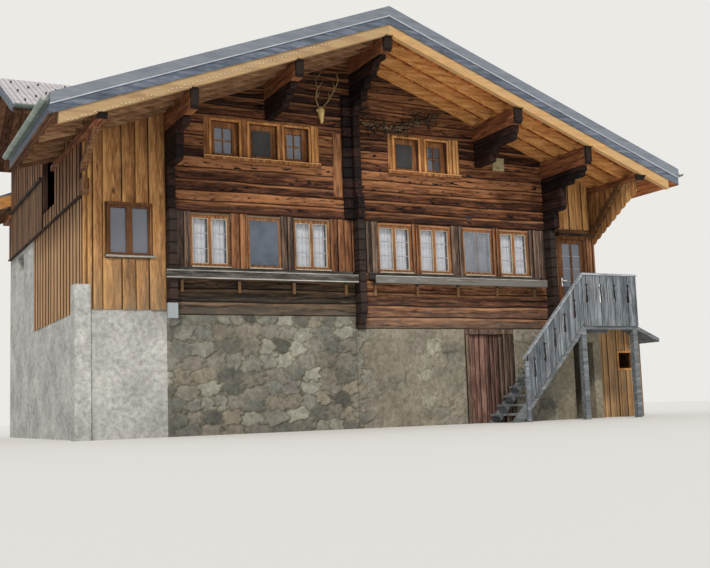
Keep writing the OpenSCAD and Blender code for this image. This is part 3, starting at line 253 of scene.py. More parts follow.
# Hewn larch logs. Squared with a broad axe, laid flat on flat, and burnt red-brown by the sun.
# Every log bulges a little between its joints and has drying cracks and dark knots.
def timber(name, along, tones, grain=0.012, board=None, courses=None, knots=0.6, dashes=0.0, cracks=0.7,
           streak=0.55, rough=0.8, relief=0.004, veils=()):
    """Wood with its grain along one axis: fibres of the grain's width, streaks of 70 mm, knots and cracks,
    and the painted highlight and painted shade that a mesh may carry.

    Boards and courses are (axis, width, start, joint width). A veil of dirt, tar, bleach or painted shade is
    (axis, full at, gone at, hue, strength, share of the wood's own colour that stays).
    """
    material = blank(name)
    place = add(material, "TexCoord").outputs["Object"]
    parts = add(material, "SeparateXYZ", (place,)).outputs
    tone = add(material, "Attribute", attribute_name="tone").outputs["Fac"]
    joints = []
    for axis, width, start, joint in [b for b in (board, courses) if b]:
        turn = add(material, "Math", (parts["xyz".index(axis)], start), "SUBTRACT")
        turn = add(material, "Math", (turn, width), "DIVIDE")
        step = add(material, "Math", (turn,), "FLOOR")
        chance = add(material, "TexWhiteNoise", {"W": step}, noise_dimensions="1D").outputs["Value"]
        chance = add(material, "Math", (chance, 0.5), "SUBTRACT")
        tone = add(material, "Math", (tone, chance), "ADD")
        near = add(material, "Math", (turn,), "FRACT")
        near = add(material, "Math", (near, 0.5), "SUBTRACT")
        near = add(material, "Math", (near,), "ABSOLUTE")
        limits = (0.5 - 1.6 * joint / width, 0.5 - 0.4 * joint / width)
        joints.append(add(material, "MapRange", (near, *limits, 0.0, 0.9)))
    # Wood of another tone takes its pattern from another place, so that no two boards repeat.
    shift = add(material, "Math", (tone, 37.0), "MULTIPLY")
    moved = add(material, "VectorMath", (place, shift), "ADD")

    def stretched(amount):
        """The place squeezed along the grain, so that a pattern runs with it."""
        scale = [1.0, 1.0, 1.0]
        scale["xyz".index(along)] = amount
        return add(material, "Mapping", {"Vector": moved, "Scale": scale})

    warp = add(material, "TexNoise", {"Vector": stretched(0.1), "Scale": 5.0, "Detail": 2.0})
    bend = add(material, "VectorMath", {0: warp.outputs["Color"], "Scale": 0.06}, "SCALE")
    flow = add(material, "VectorMath", (stretched(0.05), bend), "ADD")
    fibre, broad = (add(material, "TexNoise", {"Vector": spot, "Scale": scale, "Detail": detail,
                                               "Roughness": 0.6})
                    for spot, scale, detail in ((flow, 1 / grain, 5.0), (stretched(0.12), 15.0, 4.0)))
    mixed = add(material, "Math", (fibre, 1 - streak), "MULTIPLY")
    mixed = add(material, "Math", (broad, streak, mixed), "MULTIPLY_ADD")
    mixed = add(material, "Math", (tone, 0.16, mixed), "MULTIPLY_ADD")
    ramp = add(material, "ValToRGB", (mixed,))
    stops = ramp.color_ramp.elements
    stops[0].position, stops[1].position = 0.36, 0.64
    stops[0].color, stops[1].color = linear(tones[0]), linear(tones[2])
    stops.new(0.5).color = linear(tones[1])
    colour, height, deep = ramp, fibre, linear(tones[0], 0.3)
    # Dark knots, then drying cracks and the short dark dashes that the axe leaves.
    if knots:
        cells = add(material, "TexVoronoi", {"Vector": stretched(0.4), "Scale": 2.6}).outputs["Distance"]
        knot = add(material, "MapRange", (cells, 0.04, 0.09, knots, 0.0))
        colour = add(material, "Mix", {0: knot, 6: colour, 7: deep}, data_type="RGBA")
    for strength, pull, scale, detail, least, depth in ((cracks, 0.03, 30.0, 2.0, 0.63, -2.0),
                                                        (dashes, 0.28, 17.0, 3.0, 0.60, -1.0)):
        if strength:
            spots = add(material, "TexNoise", {"Vector": stretched(pull), "Scale": scale, "Detail": detail})
            mark = add(material, "MapRange", (spots, least, least + 0.06, 0.0, strength))
            colour = add(material, "Mix", {0: mark, 6: colour, 7: deep}, data_type="RGBA")
            height = add(material, "Math", (mark, depth, height), "MULTIPLY_ADD")
    # A veil slides off along its axis and lies on the wood in patches of 140 mm.
    for axis, low_at, high_at, hue, amount, kept in veils:
        cloud = add(material, "TexNoise", {"Vector": stretched(0.2), "Scale": 7.0, "Detail": 4.0})
        patches = add(material, "MapRange", (cloud, 0.3, 0.6, 0.5, 1.0))
        slide = add(material, "MapRange", (parts["xyz".index(axis)], low_at, high_at, amount, 0.0))
        veil = add(material, "Math", (slide, patches), "MULTIPLY")
        tinted = add(material, "Mix", {0: kept, 6: linear(hue), 7: colour}, data_type="RGBA")
        colour = add(material, "Mix", {0: veil, 6: colour, 7: tinted}, data_type="RGBA")
    # A painted highlight on the upper edges that a mesh marks, and dark joints cut into the relief, with
    # painted shade in the gaps and splits that a mesh marks.
    sunny = add(material, "Attribute", attribute_name="sunny").outputs["Fac"]
    lit = add(material, "Math", (sunny, add(material, "MapRange", (broad, 0.3, 0.6, 0.25, 1.0))),
              "MULTIPLY")
    colour = add(material, "Mix", {0: lit, 6: colour, 7: linear(tones[2], 1.35)}, data_type="RGBA")
    joints.append(add(material, "Attribute", attribute_name="crease").outputs["Fac"])
    for joint in joints:
        colour = add(material, "Mix", {0: joint, 6: colour, 7: linear(tones[0], 0.2)}, data_type="RGBA")
        height = add(material, "Math", (joint, -3.0, height), "MULTIPLY_ADD")
    bump = add(material, "Bump", {"Height": height, "Strength": 0.7, "Distance": relief})
    return surface(material, {"Base Color": colour, "Roughness": rough, "Normal": bump,
                              "Specular IOR Level": 0.22})


def hewn_logs(name, ends, joints, y_face, holes, seed, finish, proud=0.014, top=lambda x: math.inf):
    """Front faces of stacked logs as one relief, open where a window or the roof is."""
    rng = np.random.default_rng(seed)
    x0, x1 = ends
    across = np.array([0, 0.04, 0.1, 0.18, 0.3, 0.42, 0.54, 0.66, 0.78, 0.88, 0.95, 1.0])
    columns = int((x1 - x0) / 0.04)
    xs = np.linspace(x0, x1, columns + 1)
    vertices, faces, tones, creases, sunny = [], [], [], [], []
    inner = np.array([0] + [1] * (len(joints) - 2) + [0])
    joints = np.array(joints) + inner * rng.uniform(-0.028, 0.028, len(joints))
    turns = rng.uniform(0, 6.28, (2, len(joints)))
    gx, ga = np.meshgrid(xs, across)
    # Each log bulges, bears the marks of the adze, and has a split that wanders below a ledge.
    for k, (z0, z1) in enumerate(zip(joints[:-1], joints[1:])):
        tone = rng.uniform(-0.8, 0.8)
        phase = rng.uniform(0, 6.28, 8)
        foot, head = (inner[j] * (0.011 * np.sin(gx * 1.1 + turns[0, j])
                                  + 0.005 * np.sin(gx * 3.9 + turns[1, j])) for j in (k, k + 1))
        gz = z0 + foot + ga * (z1 - z0 + head - foot)
        bulge = (1 - np.abs(2 * ga - 1) ** 5) * (proud + 0.005 * np.sin(gx * 2.2 + phase[2]))
        adze = 0.004 * np.sin(gx * 19 + 3 * np.sin(gx * 5 + phase[3]) + ga * 4) * np.sin(ga * 3.1416)
        wander = 0.48 + 0.22 * np.sin(gx * 0.9 + phase[4]) + 0.06 * np.sin(gx * 6 + phase[5])
        broken = (0.6 + 0.8 * np.sin(gx * 1.9 + phase[6])).clip(0, 1)
        split = np.exp(-((ga - wander) / 0.05) ** 2) * broken
        ledge = np.exp(-((ga - wander - 0.14) / 0.07) ** 2) * broken
        depth = y_face - np.maximum(bulge + adze - 0.008 * split + 0.005 * ledge, 0.0005)
        # Painted shade darkens the joints at each log's foot and head and along its split, and a painted
        # highlight lies along its upper edge and on the ledge above the split.
        gap = np.exp(-(ga / 0.055) ** 2) + 0.7 * np.exp(-((1 - ga) / 0.035) ** 2)
        creases.extend((gap + 0.75 * split).clip(0, 1).ravel())
        sunny.extend((0.8 * np.exp(-((ga - 0.86) / 0.09) ** 2) + 0.6 * ledge * 0.8).clip(0, 1).ravel())
        base = len(vertices)
        vertices.extend(zip(gx.ravel(), depth.ravel(), gz.ravel()))
        for j in range(len(across) - 1):
            zc = z0 + (across[j] + across[j + 1]) / 2 * (z1 - z0)
            for i in range(columns):
                xc = (xs[i] + xs[i + 1]) / 2
                if zc > top(xc) or any(a < xc < b and c < zc < d for a, b, c, d in holes):
                    continue
                a = base + j * (columns + 1) + i
                faces.append((a, a + 1, a + columns + 2, a + columns + 1))
                tones.append(tone)
    piece = mesh_piece(name, vertices, faces, finish, "log_wood")
    paint(piece, "FACE", tone=tones)
    paint(piece, "POINT", crease=creases, sunny=sunny)
    piece.data.shade_smooth()


course, upper_course = 0.259, 0.225
upper_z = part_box("front_logs_left")[1].z
left_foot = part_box("front_logs_left")[0].z
ridge_top, fall, skin = 8.55, 0.376, 0.376
# Larch from the broad axe: red-brown and streaked in the gable, browner below, and silvered by
# splashed rain at its foot. Close under the roof the gable is darker with a painted shade of the overhang.
hewn_left = timber("hewn_larch_lower_left", "x", ("#18110c", "#3d3023", "#6a5440"), relief=0.006, dashes=0.6,
                   veils=(("z", left_foot, left_foot + 0.5, "#5b5851", 0.7, 0.3),))
hewn_right = timber("hewn_larch_lower_right", "x", ("#24140d", "#683f2c", "#99704f"), relief=0.006,
                    dashes=0.6, veils=(("z", right_foot, right_foot + 0.75, "#5f574f", 1.0, 0.3),))
hewn_high = timber("hewn_larch_gable", "x", ("#200f08", "#573320", "#8e603e"), relief=0.006, dashes=1.0,
                   veils=(("z", upper_z, upper_z + 0.2, "#35241b", 0.7, 0.3),
                          ("z", ridge_top - 1.1, ridge_top - 2.3, "#20130d", 0.75, 0.3)))
hewn_rear = timber("hewn_larch_rear", "x", ("#34231a", "#5f4433", "#8a6a50"),
                   courses=("z", course, right_foot, 0.012))
dress(hewn_left, "front_logs_left")
dress(hewn_right, "front_logs_right")
dress(hewn_high, "gable_logs")
dress(hewn_rear, "rear_logs")
left_logs_low, left_logs_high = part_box("front_logs_left")
right_logs_low, right_logs_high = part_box("front_logs_right")
left_ends = (left_logs_low.x, left_logs_high.x)
right_ends = (right_logs_low.x, right_logs_high.x)
lower_glass = [(-3.654, -2.920), (-2.4435, -1.8165), (-1.4145, -0.6895), (0.5575, 1.3065), (1.5895, 2.3145),
               (2.7355, 3.4345), (3.73, 4.45)]
upper_glass = [(-3.1345, -2.7555), (-2.3135, -1.9065), (-1.5325, -1.1915), (1.0995, 1.4965), (1.906, 2.238)]
low_z, low_top = 3.389, 4.319
high_z, high_top = 5.69, 6.225
frame_side, upper_side = 0.055, 0.11
low_holes, high_holes = ([(ridge_x + a - side, ridge_x + b + side, low - side, top + side) for a, b in panes]
                         for panes, side, low, top in ((lower_glass, frame_side, low_z, low_top),
                                                       (upper_glass, upper_side, high_z, high_top)))
left_joints = [left_foot + i * course for i in range(9)]
right_joints = [right_foot + i * course for i in range(10)]
upper_joints = [upper_z + i * upper_course for i in range(17)]
gable_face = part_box("gable_logs")[0].y


def under_roof(x):
    """Underside of the roof boards over a place on the front."""
    return ridge_top - fall * abs(x - ridge_x) - skin - 0.02


hewn_logs("lower_logs_left", left_ends, left_joints, front_y, low_holes, 21, hewn_left)
hewn_logs("lower_logs_right", right_ends, right_joints, front_y, low_holes, 22, hewn_right)
for name, ends, seed in (("upper_logs_left", left_ends, 23), ("upper_logs_right", right_ends, 24)):
    hewn_logs(name, ends, upper_joints, gable_face, high_holes, seed, hewn_high, 0.02, under_roof)

# Log ends. The cross walls run out through the front in stepped and rounded consoles that carry
# the purlins. Their end grain is black from the weather, and browner low down.
blackened = timber("blackened_log_ends", "y", ("#070404", "#180e0b", "#38211a"),
                   courses=("z", upper_course, upper_z, 0.014), knots=0.2,
                   veils=(("z", upper_z - 0.1, upper_z, "#453a33", 0.85, 0.5),))
dress(blackened, "left_log_wall", "middle_log_wall", "right_log_wall", "gable_consoles")

# Floors. Planed spruce planks laid from wall to wall. They are even and honey coloured, and show
# only when a door is open.
floor_wood = timber("planed_floor_planks", "y", ("#7a5836", "#9b7448", "#b58c5c"),
                    board=("x", 0.22, 0.0, 0.006), cracks=0.2)
dress(floor_wood, "floors")

# Roof timbers. Planed spruce purlins with blackened ends, rafters and boards. They are honey
# coloured where no sun reaches, and the rafters at the verge are paler than the rest. The rafters are
# painted paler than the boards as painted light, and on the left slope and under the cross roof both
# are darker copies as painted shade.
verge_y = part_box("barge_boards")[0].y
purlin_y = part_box("purlins")[0].y
# Oil has reddened the purlins, and their sawn ends are black.
beam_wood = timber("oiled_spruce_beam", "y", ("#3a1f12", "#70432a", "#9b6843"), knots=0.4,
                   veils=(("y", purlin_y + 0.06, purlin_y + 0.07, "#12100f", 3.0, 0.05),))
verge_pale = ("y", verge_y + 0.17, verge_y + 0.2, "#ad946c", 0.95, 0.2)
rafter_wood = timber("planed_spruce_rafter", "x", ("#85562c", "#b98148", "#dcaa6e"), grain=0.008, knots=0.35,
                     cracks=0.2, veils=(verge_pale,))
# Darker copies of the rafters and boards for the left slope and the cross roof, as painted shade.
shaded_rafter = timber("spruce_rafter_painted_shade", "x", ("#4a3023", "#7c5a40", "#a68463"), grain=0.008,
                       knots=0.35, cracks=0.2, veils=(verge_pale,))
soffit_wood = timber("planed_spruce_boards", "y", ("#582d17", "#94552b", "#b87443"), grain=0.008,
                     board=("x", 0.19, 0.0, 0.008), knots=0.6, cracks=0.15)
shaded_soffit = timber("spruce_boards_painted_shade", "y", ("#35221a", "#62432f", "#8a674b"), grain=0.008,
                       board=("x", 0.19, 0.0, 0.008), knots=0.6, cracks=0.15)
dress(beam_wood, "purlins")
dress(rafter_wood, "rafters_right", "upper_rafters")
dress(shaded_rafter, "rafters_left")
dress(soffit_wood, "deck_right")
dress(shaded_soffit, "deck_left_front", "deck_left_middle", "deck_left_rear", "wing_deck")


# Roof covering. Matt grey sheet laid in strips down both slopes, and folded together into standing
# seams about half a metre apart.
def sheet_metal(name, low_tone, high_tone, metallic, rough, rib=0.0):
    """Weathered sheet: a cloud of 400 mm patches, fine streaks down to 15 mm, and ribs along Y."""
    material = blank(name)
    place = add(material, "TexCoord").outputs["Object"]
    cloud = add(material, "TexNoise", {"Vector": place, "Scale": 2.5, "Detail": 8.0, "Roughness": 0.62})
    speck = add(material, "TexNoise", {"Vector": place, "Scale": 60.0, "Detail": 3.0})
    mixed = add(material, "Math", (cloud, 0.7), "MULTIPLY")
    ramp = add(material, "ValToRGB", (add(material, "Math", (speck, 0.3, mixed), "MULTIPLY_ADD"),))
    low, high = ramp.color_ramp.elements
    low.position, high.position = 0.35, 0.65
    low.color, high.color = linear(low_tone), linear(high_tone)
    height, colour = cloud, ramp
    if rib:
        along = add(material, "SeparateXYZ", (place,)).outputs["X"]
        turns = add(material, "Math", (along, 2 * math.pi / rib), "MULTIPLY")
        height = add(material, "Math", (turns,), "SINE")
        # A painted shadow darkens the hollow of each rib.
        hollow = add(material, "MapRange", (height, -1.0, 0.0, 0.6, 0.0))
        colour = add(material, "Mix", {0: hollow, 6: colour, 7: linear(low_tone, 0.4)}, data_type="RGBA")
    bump = add(material, "Bump", {"Height": height, "Strength": 0.5 if rib else 0.3, "Distance": 0.01})
    return surface(material, {"Base Color": colour, "Metallic": metallic, "Roughness": rough, "Normal": bump})


def inset(outline, amount):
    """A convex outline with every edge moved inwards."""
    area = sum(a[0] * b[1] - b[0] * a[1] for a, b in zip(outline, outline[1:] + outline[:1]))
    turn = 1 if area > 0 else -1
    result = []
    for i, here in enumerate(outline):
        normals = []
        for a, b in ((outline[i - 1], here), (here, outline[(i + 1) % len(outline)])):
            length = math.hypot(b[0] - a[0], b[1] - a[1])
            normals.append((-turn * (b[1] - a[1]) / length, turn * (b[0] - a[0]) / length))
        lean = 1 + normals[0][0] * normals[1][0] + normals[0][1] * normals[1][1]
        result.append(tuple(here[k] + amount * (normals[0][k] + normals[1][k]) / lean for k in (0, 1)))
    return result


def placed(view, u, v, depth):
    """A point of the front or of a side, from the house's own metres."""
    return (u + ridge_x, depth + front_y, v) if view == "front" else (depth + ridge_x, u + front_y, v)


def outward(piece, weld=0.0):
    """Turns the faces of a mesh outward, and joins points that lie within the weld distance."""
    shape = bmesh.new()
    shape.from_mesh(piece.data)
    if weld:
        bmesh.ops.remove_doubles(shape, verts=shape.verts, dist=weld)
        bmesh.ops.dissolve_degenerate(shape, edges=shape.edges, dist=weld)
    bmesh.ops.recalc_face_normals(shape, faces=shape.faces)
    shape.to_mesh(piece.data)
    shape.free()
    return piece


def boards(name, rows, material, slot, view="front", body=HOUSE):
    """Bevelled boards as one piece, each (outline, back, face, bevel, tone). The tone may be left out.

    The outline is four limits or a list of corners, seen from the front or the side.
    """
    vertices, faces, tones = [], [], []
    for outline, back, face, bevel, *tone in rows:
        if not isinstance(outline[0], tuple):
            u0, u1, v0, v1 = outline
            outline = [(u0, v0), (u1, v0), (u1, v1), (u0, v1)]
        shoulder = face - bevel * (1 if face > back else -1)
        base, n = len(vertices), len(outline)
        for ring, depth in ((outline, back), (outline, shoulder), (inset(outline, bevel), face)):
            vertices.extend(placed(view, u, v, depth) for u, v in ring)
        new = [(base + k + i, base + k + (i + 1) % n, base + k + n + (i + 1) % n, base + k + n + i)
               for k in (0, n) for i in range(n)]
        new += [tuple(base + i for i in range(n)), tuple(base + 2 * n + i for i in range(n))]
        faces.extend(new)
        tones.extend((tone or [0.0]) * len(new))
    piece = mesh_piece(name, vertices, faces, material, slot, body)
    paint(piece, "FACE", tone=tones)
    return outward(piece)


def roof_top(x):
    """Top of the main roof, in the house's own metres from the ridge."""
    return ridge_top - fall * abs(x)


# Sheet left to the weather, matt and blotched, with a dull sheen.
grey_sheet = sheet_metal("weathered_grey_sheet", "#565c60", "#7b8185", 0.3, 0.5)
dress(grey_sheet, "cover_left_front", "cover_left_middle", "cover_left_rear", "cover_right")
roof_left, roof_right, verge, rear = 6.76, 7.56, -1.80, 9.40
wing_front, wing_rear, wing_reach = 2.6, 8.2, 4.3
seams = []
seam_step, seam_w, seam_h = 0.56, 0.012, 0.028
count = round((rear - verge) / seam_step)
for i in range(1, count):
    y = verge + i * (rear - verge) / count
    left_end = wing_reach if wing_front - 0.05 < y < wing_rear + 0.05 else roof_left
    for near, far in ((-0.1, -left_end), (0.1, roof_right)):
        rise = [(near, roof_top(near) - 0.01), (far, roof_top(far) - 0.01), (far, roof_top(far) + seam_h),
                (near, roof_top(near) + seam_h)]
        seams.append((rise, y - seam_w, y + seam_w, 0.003))
boards("standing_seams", seams, grey_sheet, "roof_metal")

# Barge boards. A sheet-faced board over a blue-grey weathered one, along each verge, and a plain
# board along each eave. A strip of bright folded sheet closes the joint between the two.
barge_wood = timber("weathered_barge_board", "x", ("#363c46", "#525a66", "#737a86"), grain=0.006,
                    knots=0.5, cracks=0.5, rough=0.6,
                    veils=(("y", verge_y + 0.012, verge_y + 0.02, "#7b8187", 1.2, 0.35),))
dress(barge_wood, "barge_boards")
flashing = [([(x, roof_top(x) - d) for x, d in ((0.0, 0.19), (far, 0.19), (far, 0.215), (0.0, 0.215))],
             -1.826, -1.846, 0.002) for far in (-roof_left, roof_right)]
# Folded sheet that is still bright, paler than the roof.
bright_sheet = sheet_metal("bright_folded_sheet", "#9a9ea6", "#c3c6ce", 0.4, 0.4)
boards("verge_flashing", flashing, bright_sheet, "light_metal")

# Gutters. Half round zinc, gone green-grey, held in bent straps. Behind the left one the ends of
# the short eave rafters show. A string of small frosted lamps hangs under the left verge rafter.
def tubes(name, paths, material, slot, sides=6):
    """Bent round stems. Each path is a list of (x, y, z, radius) in the house's own metres."""
    # No stem runs along this direction.
    skew = Vector((0.3, 1, 0.2))
    vertices, faces = [], []
    for path in paths:
        points = [Vector(q[:3]) for q in path]
        base = len(vertices)
        for i, (point, (_, _, _, radius)) in enumerate(zip(points, path)):
            run = (points[min(i + 1, len(points) - 1)] - points[max(i - 1, 0)]).normalized()
            across = run.cross(skew).normalized()
            other = run.cross(across)
            for k in range(sides):
                angle = 2 * math.pi * k / sides
                spot = point + radius * (math.cos(angle) * across + math.sin(angle) * other)
                vertices.append((spot.x + ridge_x, spot.y + front_y, spot.z))
        for i in range(len(path) - 1):
            for k in range(sides):
                a, b = base + i * sides + k, base + i * sides + (k + 1) % sides
                faces.append((a, b, b + sides, a + sides))
        faces.append(tuple(base + k for k in range(sides)))
        faces.append(tuple(base + (len(path) - 1) * sides + k for k in range(sides)))
    outward(mesh_piece(name, vertices, faces, material, slot)).data.shade_smooth()


def strap(middle, rim, turn, along):
    """A strap round a half round gutter, from one side of the rim down to the other."""
    path = []
    for k in range(9):
        angle = math.pi * (1.16 + 0.68 * k / 8)
        reach = middle + strap_radius * math.cos(angle)
        spot = (reach, along) if turn == "x" else (along, reach)
        path.append(spot + (rim + strap_radius * math.sin(angle), strap_wire))
    return path


strap_radius, strap_wire = 0.072, 0.006
zinc = sheet_metal("dull_zinc", "#66726b", "#8b978d", 0.4, 0.5)
dress(zinc, "gutters")
left_rim, right_rim = roof_top(roof_left) - 0.1, roof_top(roof_right) - 0.1
straps = [strap(-6.84, left_rim, "x", -1.55 + 0.58 * k) for k in range(8)]
straps += [strap(7.64, right_rim, "x", -1.55 + 0.9 * k) for k in range(12)]
straps += [strap(2.52, 7.04, "y", -6.5 + 0.6 * k) for k in range(4)]
tubes("gutter_straps", straps, zinc, "zinc", 4)
lamps = []
lamp_count, lamp_step = 70, 0.078
for k in range(lamp_count):
    x = -6.45 + lamp_step * k
    z = roof_top(x) - 0.555 + 0.0022 * k - 0.014 * (k % 3)
    lamps.append([(x, -1.815, z, 0.006), (x, -1.815, z - 0.012, 0.011), (x, -1.815, z - 0.024, 0.004)])
# Frosted glass that isn't lit, cream coloured and dull.
frosted = blank("frosted_lamp_glass")
surface(frosted, {"Base Color": linear("#cfc8b8"), "Roughness": 0.5})
tubes("string_of_lamps", lamps, frosted, "casing_wood", 5)
tails = []
for k in range(7):
    under = [(x, roof_top(x) - skin - d)
             for x, d in ((-6.62, 0.002), (-5.94, 0.002), (-5.94, 0.14), (-6.62, 0.1))]
    y = -1.2 + 0.58 * k
    tails.append((under, y + 0.045, y - 0.045, 0.004, 0.3 * (k % 3) - 0.3))
boards("eave_rafter_ends", tails, shaded_rafter, "new_wood")

# Cross roof. Pale corrugated sheet on boards, with rows of small dark snow guards on the slopes and
# a blue-grey board along the verge.
# Lacquered sheet, chalky and pale, with a shadow in the hollow of each wave.
pale_sheet = sheet_metal("pale_corrugated_sheet", "#a8a2a4", "#c6c0c1", 0.1, 0.6, 0.12)
dress(pale_sheet, "wing_cover")
wing_mid, wing_half, wing_fall, wing_eave = 5.4, 2.8, 0.5, 7.1
wing_left = -6.7
guards = []
for side in (-1, 1):
    for row, away in enumerate((2.5, 2.0, 1.5, 1.0, 0.5)):
        for i in range(9):
            x = wing_left + 0.3 + 0.62 * i + 0.31 * (row % 2)
            z = wing_eave + wing_fall * (wing_half - away)
            if x < -0.2 and z > roof_top(x) + 0.1 or x < -wing_reach:
                y = wing_mid + side * away
                guards.append(((x - 0.02, x + 0.02, z, z + 0.055), y - 0.004, y + 0.004, 0.001))
wing_top = wing_eave + wing_fall * wing_half
wing_barge = []
for side in (-1, 1):
    eave_y = wing_mid + side * wing_half
    slope = [(wing_mid, wing_top), (eave_y, wing_eave), (eave_y, wing_eave - 0.2), (wing_mid, wing_top - 0.2)]
    wing_barge.append((slope, wing_left + 0.002, wing_left - 0.03, 0.006))
boards("cross_roof_barge", wing_barge, barge_wood, "grey_board", "side")
# Iron under old black paint, dull and nearly without light.
iron = sheet_metal("blackened_iron", "#26262a", "#3c3b40", 0.7, 0.5)
boards("snow_guards", guards, iron, "roof_metal")

# Lower windows. Oiled spruce frames with two casements each, a thin pale sash round the glass
# and two fine grey-white bars across every casement.
# Oil keeps the casings a warm brown. The sashes' thin paint is beige and the bars' is chalky.
casing_wood = timber("oiled_spruce_casing", "z", ("#4a2c18", "#7a4f2f", "#a8774a"), grain=0.006, cracks=0.3,
                     relief=0.002,
                     veils=(("x", left_logs_low.x - 0.05, left_logs_low.x, "#4a2f1d", 2.0, 0.3),))
sash_paint = timber("pale_sash_paint", "z", ("#8d8270", "#aba08d", "#c3baa8"), grain=0.006, knots=0.0,
                    cracks=0.1, relief=0.001)
bar_paint = timber("white_bar_paint", "z", ("#7c7c80", "#929297", "#aaaaae"), grain=0.006, knots=0.0,
                   cracks=0.0, relief=0.001)
dress(casing_wood, "lower_windows_frames", "upper_windows_frames")
glass = blank("window_glass")
panes = add(glass, "SeparateXYZ", (add(glass, "TexCoord").outputs["Object"],)).outputs
# The small upper panes and the bay's panes stand in front of dark rooms and mirror the pale sky.
upstairs = add(glass, "Math", (panes["Z"], 5.0), "GREATER_THAN")
left_bay = add(glass, "Math", (panes["X"], left_logs_low.x), "LESS_THAN")
right_bay = add(glass, "Math", (panes["X"], right_logs_high.x), "GREATER_THAN")
mirrors = add(glass, "Math", (upstairs, left_bay), "MAXIMUM")
mirrors = add(glass, "Math", (mirrors, right_bay), "MAXIMUM")
surface(glass, {"Base Color": linear("#787c84"), "Roughness": 0.04, "IOR": 1.5,
                "Metallic": add(glass, "MapRange", (mirrors, 0.0, 1.0, 0.1, 0.45)),
                "Alpha": add(glass, "MapRange", (mirrors, 0.0, 1.0, 0.2, 0.75))})
dress(glass, "window_glass", "entrance_glass")


def edging(u0, u1, v0, v1, width):
    """The four boards inside a rectangle's edge: two uprights, then the head and the foot between them."""
    uprights = [(u0, u0 + width, v0, v1), (u1 - width, u1, v0, v1)]
    return uprights + [(u0 + width, u1 - width, *rail) for rail in ((v1 - width, v1), (v0, v0 + width))]


sashes, bars = [], []
glass_face, sash_width, bar_half = 0.04, 0.02, 0.009
for a, b in lower_glass:
    mid = (a + b) / 2
    for u0, u1 in ((a, mid - frame_side / 2), (mid + frame_side / 2, b)):
        sashes += [(edge, glass_face, 0.012, 0.003) for edge in edging(u0, u1, low_z, low_top, sash_width)]
        for k in (1, 2):
            z = low_z + k * (low_top - low_z) / 3
            bars.append(((u0 + sash_width, u1 - sash_width, z - bar_half, z + bar_half),
                         glass_face, 0.026, 0.003))
boards("casement_sashes", sashes, sash_paint, "casing_wood")
boards("casement_bars", bars, bar_paint, "casing_wood")


# Curtains. White cotton voile gathered on a rod, one pair of panels behind each lower window. They
# are drawn nearly closed and look like pale folds behind the glass.
def voile(name, tone):
    """Thin cloth, woven too fine to show as threads, with soft clouds of 100 mm in its shade."""
    material = blank(name)
    place = add(material, "TexCoord").outputs["Object"]
    weave = add(material, "TexNoise", {"Vector": place, "Scale": 240.0, "Detail": 2.0})
    cloud = add(material, "TexNoise", {"Vector": place, "Scale": 9.0, "Detail": 3.0})
    shade = add(material, "MapRange", (cloud, 0.3, 0.7, 0.0, 0.5))
    colour = add(material, "Mix", {0: shade, 6: linear(tone), 7: linear(tone, 0.75)}, data_type="RGBA")
    bump = add(material, "Bump", {"Height": weave, "Strength": 0.2, "Distance": 0.001})
    return surface(material, {"Base Color": colour, "Roughness": 0.9, "Normal": bump, "Sheen Weight": 0.2})


def curtain(name, x0, x1, z0, z1, seed):
    """A pleated panel. Its folds are deeper at the hem than at the rod."""
    rng = np.random.default_rng(seed)
    columns, rows = max(24, int((x1 - x0) / 0.006)), 16
    phase = rng.uniform(0, 6.28, 3)
    vertices = []
    for j in range(rows + 1):
        drop = j / rows
        for i in range(columns + 1):
            x = x0 + (x1 - x0) * i / columns
            fold = math.sin(x / 0.0105 * 0.8 + phase[0] + 0.9 * math.sin(x * 9 + phase[1]))
            wave = (0.011 + 0.007 * drop) * fold + 0.004 * math.sin(x * 31 + 3 * drop + phase[2])
            vertices.append((x + ridge_x, rod_y + wave + front_y, z1 + (z0 - z1) * drop))
    piece = mesh_piece(name, vertices, grid(columns, rows), cotton, "curtain_cloth")
    piece.data.shade_smooth()
    return piece


# Washed cotton, white with a little blue.
cotton = voile("white_cotton_voile", "#f0f2f8")
dress(cotton, "curtains")
rod_y = 0.125
for index, (a, b) in enumerate(lower_glass):
    mid = (a + b) / 2
    parted = 0.05 if index == 0 else 0.004
    for side, u0, u1 in (("left", a + 0.012, mid - parted), ("right", mid + parted, b - 0.012)):
        panel = curtain(f"curtain_{index + 1}_{side}", u0, u1, low_z + 0.01, low_top + 0.03, 40 + index)
        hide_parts("curtains")


# Insect screens. Fine grey mesh drawn tight over a window: two on each storey. The one at the
# lower right is lighter, and lets the curtains show.
def mesh_cloth(name, tone, cover):
    """Woven mesh of 1.2 mm, too fine to show, so it is a veil that lets part of the light through."""
    material = blank(name)
    place = add(material, "TexCoord").outputs["Object"]
    cloud = add(material, "TexNoise", {"Vector": place, "Scale": 3.0, "Detail": 2.0})
    dust = add(material, "MapRange", (cloud, 0.35, 0.65, 0.0, 1.0))
    colour = add(material, "Mix", {0: dust, 6: linear(tone), 7: linear(tone, 0.7)}, data_type="RGBA")
    return surface(material, {"Base Color": colour, "Roughness": 0.7, "Alpha": cover})


